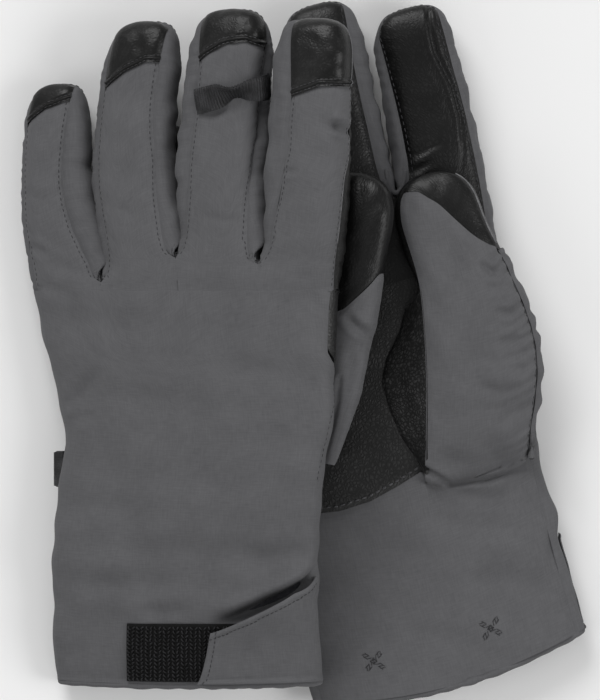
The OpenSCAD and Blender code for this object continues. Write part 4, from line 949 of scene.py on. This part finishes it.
def makeGusset():
    s = gussetSpec
    y = np.linspace(*s["levels"], s["rows"])
    low, _ = trunkSurface("right", y, np.radians(360 - backAngle(curve(y, *s["palm"], 0.3))))
    low[:, 2] += s["lift"]
    far = np.linspace(*s["far"], s["rows"])
    high, _ = thumbSurface("right", far, np.radians(np.full(s["rows"], s["thumbAngle"])), 0.3)
    t = np.linspace(0, 1, s["cols"])[None, :, None]
    skin = low[:, None] + (high - low)[:, None] * np.concatenate([t, t, t ** s["sag"]], -1)
    core = skin - np.array([0, 0, 10.0])
    first, _, near, _ = borderLengths(skin)
    sunk = 0.12 * ripple(first, near, 81, 12.0) - 0.9 * np.exp(-(first / 1.4) ** 2)
    skin = skin + gridNormals(skin, core) * sunk[..., None]
    middle = s["rows"] // 2
    bend = ("right_glove", "right_thumb", tuple(low[middle] * 0.001), tuple(high[middle] * 0.001))
    sew("rightThumbGusset", [shellPart(skin, gridNormals(skin, core), s["wall"])], paintedLightGussetLeather, bend=bend)


makeGusset()

# Rolled fold of cloth round the fork of the right middle and index finger: a round section carried along a U
forkSpec = {"path": ((386, 170), (388, 180), (391, 189), (396, 194), (401, 190), (404, 182), (405.5, 170)),
            "radius": 1.1, "high": 20.9, "fall": 2.0, "rows": 48}


def makeForkFold():
    s = forkSpec
    path = np.array(s["path"])
    t = np.linspace(0, len(path) - 1, s["rows"])
    px, py = (curve(t, np.arange(len(path)), path[:, k], 0.25) for k in (0, 1))
    line = np.stack([(px - photoMiddle[0]) * photoScale + photoCentre[0],
                     (photoMiddle[1] - py) * photoScale + photoCentre[1],
                     s["high"] - s["fall"] * np.abs(np.linspace(-1, 1, s["rows"])) ** 2], -1)
    part = weltPart(line, np.tile([[0.0, 0, 1]], (s["rows"], 1)), s["radius"])
    sew("rightForkFold", [part], shadedWallCloth, body="right_glove")


makeForkFold()
print("gusset and fork fold made")

# Lining of the cuffs and hands, and the rolled hem
liningSpec = {"outer": 1.6, "inner": 3.4, "sunk": 4.2, "sinkLength": 14, "end": 58.0, "rows": 90, "cols": 150,
              "section": (55, 10), "columnMm": 1.7, "hemRadius": 1.9, "hemTurns": 14}


# The lining is the trunk's surface at two depths, joined at both ends; the hem is an oval carried round the opening
def makeLining(side):
    s, hem = liningSpec, lay[side]["hemAt"]
    angle = evenAngles(0.0, 360.0, s["cols"] + 1, *s["section"])[:, :-1]
    y = column((hem - 1.0, s["end"]), s["rows"])
    sunk = s["sunk"] * smooth((y - hem) / s["sinkLength"])
    outer, core = trunkSurface(side, y, angle, s["outer"] + sunk)
    inner, _ = trunkSurface(side, y, angle, s["inner"] + sunk)
    around = np.cumsum(np.full(inner.shape[:2], s["columnMm"]), 1)
    inner = inner - gridNormals(inner, core) * (0.5 * ripple(around, y + 0 * angle, 91, 14.0))[..., None]
    part = closedPart(np.concatenate([outer, inner[::-1]]), loop=True)
    sew(side + "Lining", [part], fleece, [side + "_lining"], side + "_glove")

    turn = np.linspace(0, 2 * np.pi, s["hemTurns"], endpoint=False)[:, None]
    middle, edge = (trunkSurface(side, hem, angle, depth)[0][0] for depth in (s["hemRadius"], 0.0))
    back = toWorld(side, np.array([0, -1.0, 0])) - toWorld(side, np.zeros(3))
    wobble = 1 + 0.12 * ripple(np.arange(s["cols"]) * s["columnMm"], np.zeros(s["cols"]), 92, 9.0)
    ring = middle + s["hemRadius"] * (unit(edge - middle) * np.cos(turn)[..., None]
                                      + back * (np.sin(turn) * 0.75 * wobble + 0.25)[..., None])
    part = closedPart(offFloor(ring), loop=True)
    sew(side + "HemBinding", [part], shellCloth, [side + "_hem_binding"], side + "_glove")


for side in ("left", "right"):
    makeLining(side)
print("linings and hems made")

# Cuff trim on the back of each cuff: pads and tab. Places are along the cuff from the wrist, and across the back
trimSpec = {
    "padX": (-20.0, 32.0), "padY": (-91.0, -69.0), "padShear": {"left": 2.2, "right": 0}, "padLift": 0.35,
    "padHeight": 0.8, "padGrid": (60, 28), "loopPitch": (1.75, 1.5), "loopHalf": 0.62, "loopHigh": 0.8,
    "loopThread": 0.3, "hookX": (13.0, 35.0), "hookY": (-88.0, -73.0), "hookLift": 1.5, "hookHeight": 0.55,
    "hookGrid": (24, 16), "tabGrid": (90, 50), "tabLength": 38.0, "tabSlant": 7.0, "tabRootHigh": 39.0,
    "tabEndHigh": 17.5, "tabThick": 1.6, "tabTurn": 0.26, "tabRootShare": 0.82, "tabAngles": (2.0, 42.05),
    "tabLoose": {"left": 3.8, "right": 0.0}, "tabBend": (0.0, 50.0), "tabBendY": -70.0,
}


# Place on the back of a cuff by its distance from the middle, the level and the height off the cloth
def onBack(side, x, y, lift):
    return trunkSurface(side, y, np.radians(backAngle(x / (gloveSize["hemWidth"] / 2))), -lift)


# A flat patch on the back of a cuff, its skin at the given height
def patchPart(side, x, y, lift, height):
    skin, core = onBack(side, *np.broadcast_arrays(x, y), lift + height)
    part = shellPart(skin, gridNormals(skin, core), height)
    offFloor(part["points"])
    return part


# Loop pad with its pile: columns of small arches, half rounds of thread that lean left and right in turn, as knitted
def makeLoopPad(side):
    s, body = trimSpec, side + "_glove"
    upright = lambda x, y: x - s["padShear"][side] * (s["padY"][1] - y) / 22
    x = np.linspace(s["padX"][1], s["padX"][0], s["padGrid"][0])[None, :]
    y = column(s["padY"], s["padGrid"][1])
    pad = patchPart(side, upright(x, y), y, s["padLift"], s["padHeight"])
    gx, gy = np.meshgrid(np.arange(s["padX"][0] + 1.0, s["padX"][1] - 0.8, s["loopPitch"][0]),
                         np.arange(s["padY"][0] + 0.9, s["padY"][1] - 0.8, s["loopPitch"][1]))
    rng = np.random.default_rng(5)
    gx = upright(gx + rng.uniform(-0.15, 0.15, gx.shape), gy)
    foot = s["padLift"] + s["padHeight"] - 0.1
    at, ahead, up = (onBack(side, gx, gy + dy, foot + dz)[0].reshape(-1, 3) for dy, dz in ((0, 0), (0.5, 0), (0, 1.0)))
    ahead, up = unit(ahead - at), unit(up - at)
    spin = np.where(np.arange(gx.size) % gx.shape[1] % 2, 0.6, -0.6) + rng.uniform(-0.3, 0.3, gx.size)
    lean = ahead * np.cos(spin)[:, None] + np.cross(ahead, up) * np.sin(spin)[:, None]
    bow = np.linspace(0, np.pi, 6)[None, :, None, None]
    turn = np.linspace(0, 2 * np.pi, 5, endpoint=False)[None, None, :, None]
    at, up, lean, cross = (v[:, None, None] for v in (at, up, lean, np.cross(lean, up)))
    arch = (at + lean * (s["loopHalf"] * np.cos(bow)) + up * (s["loopHigh"] * np.sin(bow))
            + s["loopThread"] * (cross * np.cos(turn) + (up * np.sin(bow) + lean * np.cos(bow)) * np.sin(turn)))
    quads = ringQuads(np.arange(30).reshape(6, 5))
    points = offFloor(arch.reshape(-1, 3))
    pile = meshPart(points, (quads[None] + (np.arange(gx.size) * 30)[:, None, None]).reshape(-1, 4))
    sew(side + "LoopPad", [pad], loopGround, [side + "_loop_pad"], body)
    sew(side + "LoopPile", [pile], loopPile, body=body)


# The tab turns round the thumb side of the cuff and lies over the pad, its upper edge running down to the free end
def makeTab(side):
    s, g, hem, body = trimSpec, gloveSize, lay[side]["hemAt"], side + "_glove"
    f, v = np.linspace(0, 1, s["tabGrid"][0])[None, :], np.linspace(0, 1, s["tabGrid"][1])[:, None]
    half, turned = g["hemWidth"] / 2, smooth(f / s["tabTurn"])
    top = -g["cuffLength"] + s["tabEndHigh"] + (s["tabRootHigh"] - s["tabEndHigh"]) * (1 - f) ** 1.2
    past = (f - s["tabTurn"]) / (1 - s["tabTurn"])
    x = half * s["tabRootShare"] - past * (s["tabLength"] - s["tabSlant"] * v ** 0.7)
    around = np.radians(backAngle(np.clip(x / half, -1, s["tabRootShare"])))
    first, last = np.radians(s["tabAngles"])
    angle = np.where(f < s["tabTurn"], first + (last - first) * (f / s["tabTurn"]) + 0 * v, around)
    loose = s["tabLoose"][side] * smooth((v - 0.4) / 0.6) * np.sin(np.pi * f) ** 1.5
    lift = 0.1 + 2.0 * smooth(f / 0.45) + 0.4 + (s["tabThick"] - 0.4) * turned + loose
    skin, core = trunkSurface(side, hem + (top - hem) * v + 0 * f, angle, -lift)
    # a turned edge: a ridge, a rounded rim and a groove for the stitches, as bells of the distance from the edge
    gaps = borderLengths(skin)
    edge = np.minimum(np.minimum(gaps[1], gaps[3]), gaps[2] + 0.5)
    bell = lambda at, wide: np.exp(-((edge - at) / wide) ** 2)
    move = 0.35 * bell(1.2, 0.9) - 0.45 * bell(0.0, 0.5) - 0.25 * bell(2.7, 0.5)
    move = move + 0.1 * ripple(gaps[0], gaps[2], 95, 14.0)
    skin = offFloor(skin + gridNormals(skin, core) * move[..., None])
    normal = gridNormals(skin, core)
    tab = shellPart(skin, normal, (0.4 + (s["tabThick"] - 0.7) * turned + 0 * v)[..., None])
    offFloor(tab["points"])
    root = trunkSurface(side, s["tabBendY"], np.radians(s["tabBend"]), -1.5)[0] * 0.001
    bend = (body, side + "_tab", *(tuple(place) for place in root))
    sew(side + "Tab", [tab], shellCloth, [side + "_cuff_tab"], None, bend)
    made = {"skin": skin, "normal": normal, "gaps": gaps}
    sew(side + "TabStitches", [stitchPart(*lineOn(made, k, 2.7), 1.9, 1.4, 0.2) for k in (1, 3)], greyThread, bend=bend)
    x, y = np.linspace(s["hookX"][1], s["hookX"][0], s["hookGrid"][0])[None, :], column(s["hookY"], s["hookGrid"][1])
    hook = patchPart(side, x, y, s["hookLift"], s["hookHeight"])
    sew(side + "HookPad", [hook], hookTape, [side + "_hook_pad"], side + "_tab")


for side in ("left", "right"):
    makeLoopPad(side)
    makeTab(side)
print("cuff trim made")

# Hang loop: ribbed webbing across the middle finger, sewn at both seams, narrowed by a twist where it stands off
loopSpec = {
    "left": {"angles": (111.0, -6.0), "reach": (0.635, 0.70), "lift": 2.6, "twist": 62.0},
    "right": {"angles": (39.6, 140.4), "reach": (0.64, 0.70), "lift": 0.3, "twist": 0.0},
    "width": 10.0, "thick": 1.2, "ribMm": 1.15, "ribHeight": 0.3, "rows": 150, "cols": 22, "section": (17, 10),
}


# A flat band carried over the finger: its height is a sine arch, its twist and its pinch are bells about the middle
def makeHangLoop(side):
    s, g, o = loopSpec, gloveSize, loopSpec[side]
    t = np.linspace(0, 1, s["rows"])
    y = g["knuckleFold"] + g["fingerLength"][2] * (o["reach"][0] + (o["reach"][1] - o["reach"][0]) * t)
    at, core = fingerSurface(side, 2, y, evenAngles(*o["angles"], s["rows"], *s["section"])[0])
    ahead = unit(np.gradient(at, axis=0))
    out = unit(np.cross(ahead, toWorld(side, np.array([0, 1.0, 0])) - toWorld(side, np.zeros(3))))
    out *= np.sign(np.sum(out * (at - core), 1, keepdims=True))
    across = np.cross(out, ahead)
    stand = 0.9 + o["lift"] * (np.sin(np.pi * t) ** 1.2 + 0.55 * smooth((t - 0.6) / 0.3))
    turn = (np.radians(o["twist"]) * np.exp(-((t - 0.52) / 0.17) ** 2))[:, None]
    middle = at + out * stand[:, None]
    wide, face = across * np.cos(turn) + out * np.sin(turn), out * np.cos(turn) - across * np.sin(turn)
    w = np.linspace(-0.5, 0.5, s["cols"])[None, :]
    pinch = 1 - 0.25 * np.exp(-((t - 0.54) / 0.16) ** 2)[:, None]
    run = np.concatenate([[0], np.cumsum(np.linalg.norm(np.diff(middle, axis=0), axis=1))])
    rib = s["ribHeight"] * np.cos(2 * np.pi * run / s["ribMm"])[:, None] * (1 - (2 * w) ** 8)
    skin = offFloor(middle[:, None] + wide[:, None] * (w * s["width"] * pinch)[..., None]
                    + face[:, None] * (rib + s["thick"] / 2 - 0.3 * (2 * w) ** 6)[..., None])
    part = shellPart(skin, gridNormals(skin, skin - face[:, None]), s["thick"])
    offFloor(part["points"])
    bend = None
    if side == "left":
        bend = ("left_glove", "left_middle", *(placeOf(side, laneMid[2], k, 0.0) for k in fingerSpec["knuckleBend"]))
    sew(side + "HangLoop", [part], webbing, [side + "_hang_loop"], "right_glove", bend)


# Pull tab: a folded loop of webbing at the little-finger side of the wrist, its profile a long thin U carried along y
pullSpec = {"y": (-16.0, -3.0), "out": 5.0, "half": 1.5, "thick": 1.1, "ribMm": 0.95, "ribHeight": 0.12, "rows": 40}


def makePullTab(side):
    s = pullSpec
    y = np.linspace(*s["y"], s["rows"])
    edge = trunkSurface(side, y, np.full(s["rows"], np.pi))[0].mean(0)
    sideX, alongY, upZ = toWorld(side, np.eye(3)) - toWorld(side, np.zeros(3))
    turn = np.linspace(-np.pi / 2, np.pi / 2, 12)
    reach = s["out"] - s["half"]
    arm = np.array([0.6] + [reach * k for k in (0.25, 0.5, 0.75)])
    outX = np.concatenate([-arm, -reach - s["half"] * np.cos(turn), -arm[::-1]])
    outZ = np.concatenate([-np.ones(4), np.sin(turn), np.ones(4)])
    high = outZ * (s["half"] + s["ribHeight"] * np.cos(2 * np.pi * y / s["ribMm"]))[:, None]
    skin = (edge + (y - y.mean())[:, None, None] * alongY + sideX * (outX + 0.8)[None, :, None] + upZ * high[..., None])
    part = shellPart(skin, gridNormals(skin, edge - sideX * 2 + 0 * skin), s["thick"])
    sew(side + "PullTab", [part], webbing, [side + "_pull_tab"], side + "_glove")


# Crossed tacks on the palm side of the cuff: two bars of close zigzag threads, each edged by two long ones
tackSpec = {"at": ((-0.49, -76.5), (0.39, -75.5)), "length": 9.5, "width": 1.7, "turns": (38.0, -42.0), "radius": 0.13,
            "rows": ((0.0, 1.3, 1.7, 0.8), (0.42, 3.0, 2.4, 0.0), (-0.42, 3.0, 2.4, 0.0)), "lift": 0.12}


# Straight lines on the trunk's surface, each moved onto the nearest point of the cuff's skin
def makeTacks(side):
    s, parts, t = tackSpec, [], np.linspace(-0.5, 0.5, 15)
    flat, away = (hands[side][2][k].reshape(-1, 3) for k in ("skin", "normal"))
    for share, y in s["at"]:
        for turn in np.radians(s["turns"]):
            for sidestep, pitch, length, cross in s["rows"]:
                dx = t * s["length"] * np.cos(turn) - sidestep * s["width"] * np.sin(turn)
                dy = t * s["length"] * np.sin(turn) + sidestep * s["width"] * np.cos(turn)
                line, _ = trunkSurface(side, y + dy, np.radians(360 - backAngle(share + dx / 53)))
                nearest = np.linalg.norm(flat[None] - line[:, None], axis=-1).argmin(1)
                up = away[nearest]
                line = line + up * (np.sum((flat[nearest] - line) * up, 1) + s["lift"])[:, None]
                parts.append(stitchPart(line, up, pitch, length, s["radius"], 0.0, cross))
    sew(side + "CrossedTacks", parts, greyThread, [side + "_crossed_tacks"], side + "_glove")


for make in (makeHangLoop, makePullTab, makeTacks):
    for side in ("left", "right"):
        make(side)
print("loops, pull tabs and tacks made")

# Floor, light and camera: lamps by name with place in metres and power in watts; the camera looks straight down
stageSpec = {
    "floor": "#E4E4E4", "floorHalf": 12.0, "sky": "#F4F4F4", "skyStrength": 0.42, "lampSize": 1.8,
    "lamps": {"softKey": ((-0.9, 2.2, 1.9), 58.0), "softRight": ((2.2, -0.5, 1.9), 36.0),
              "softLeft": ((-2.2, -0.8, 1.9), 14.0), "softLow": ((0.6, -2.3, 1.9), 10.0)},
    "distance": 6.0, "focus": 0.03, "frameHeight": 0.273, "sensor": 36.0,
}


# Links a new object with the given data
def place(name, data):
    holder = bpy.data.objects.new(name, data)
    bpy.context.scene.collection.objects.link(holder)
    return holder


def makeStage():
    s, scene = stageSpec, bpy.context.scene
    mesh, half = bpy.data.meshes.new("floor"), s["floorHalf"]
    mesh.from_pydata([(-half, -half, 0), (half, -half, 0), (half, half, 0), (-half, half, 0)], [], [(0, 1, 2, 3)])
    material, _, shader = newMaterial("matPaper")  # uncoated paper: flat, pale and without gloss
    shader.inputs["Base Color"].default_value = hexColour(s["floor"])
    shader.inputs["Roughness"].default_value = 0.95
    shader.inputs["Specular IOR Level"].default_value = 0.0
    mesh.materials.append(material)
    place("floor", mesh)
    scene.world = bpy.data.worlds.new("studio")
    scene.world.use_nodes = True
    sky = scene.world.node_tree.nodes["Background"]
    sky.inputs["Color"].default_value = hexColour(s["sky"])
    sky.inputs["Strength"].default_value = s["skyStrength"]
    for name, (at, power) in s["lamps"].items():
        lamp = bpy.data.lights.new(name, "AREA")
        lamp.shape, lamp.size, lamp.energy = "DISK", s["lampSize"], power
        holder = place(name, lamp)
        holder.location = at
        holder.rotation_mode = "QUATERNION"
        holder.rotation_quaternion = (-Vector(at)).to_track_quat("-Z", "Y")
    camera = bpy.data.cameras.new("camera")
    camera.sensor_width = s["sensor"]
    camera.lens = s["sensor"] * s["distance"] / s["frameHeight"]
    camera.clip_end = 100.0
    scene.camera = place("camera", camera)
    scene.camera.location = (photoCentre[0] * 0.001, photoCentre[1] * 0.001, s["distance"] + s["focus"])
    scene.view_settings.view_transform = "Standard"


makeStage()
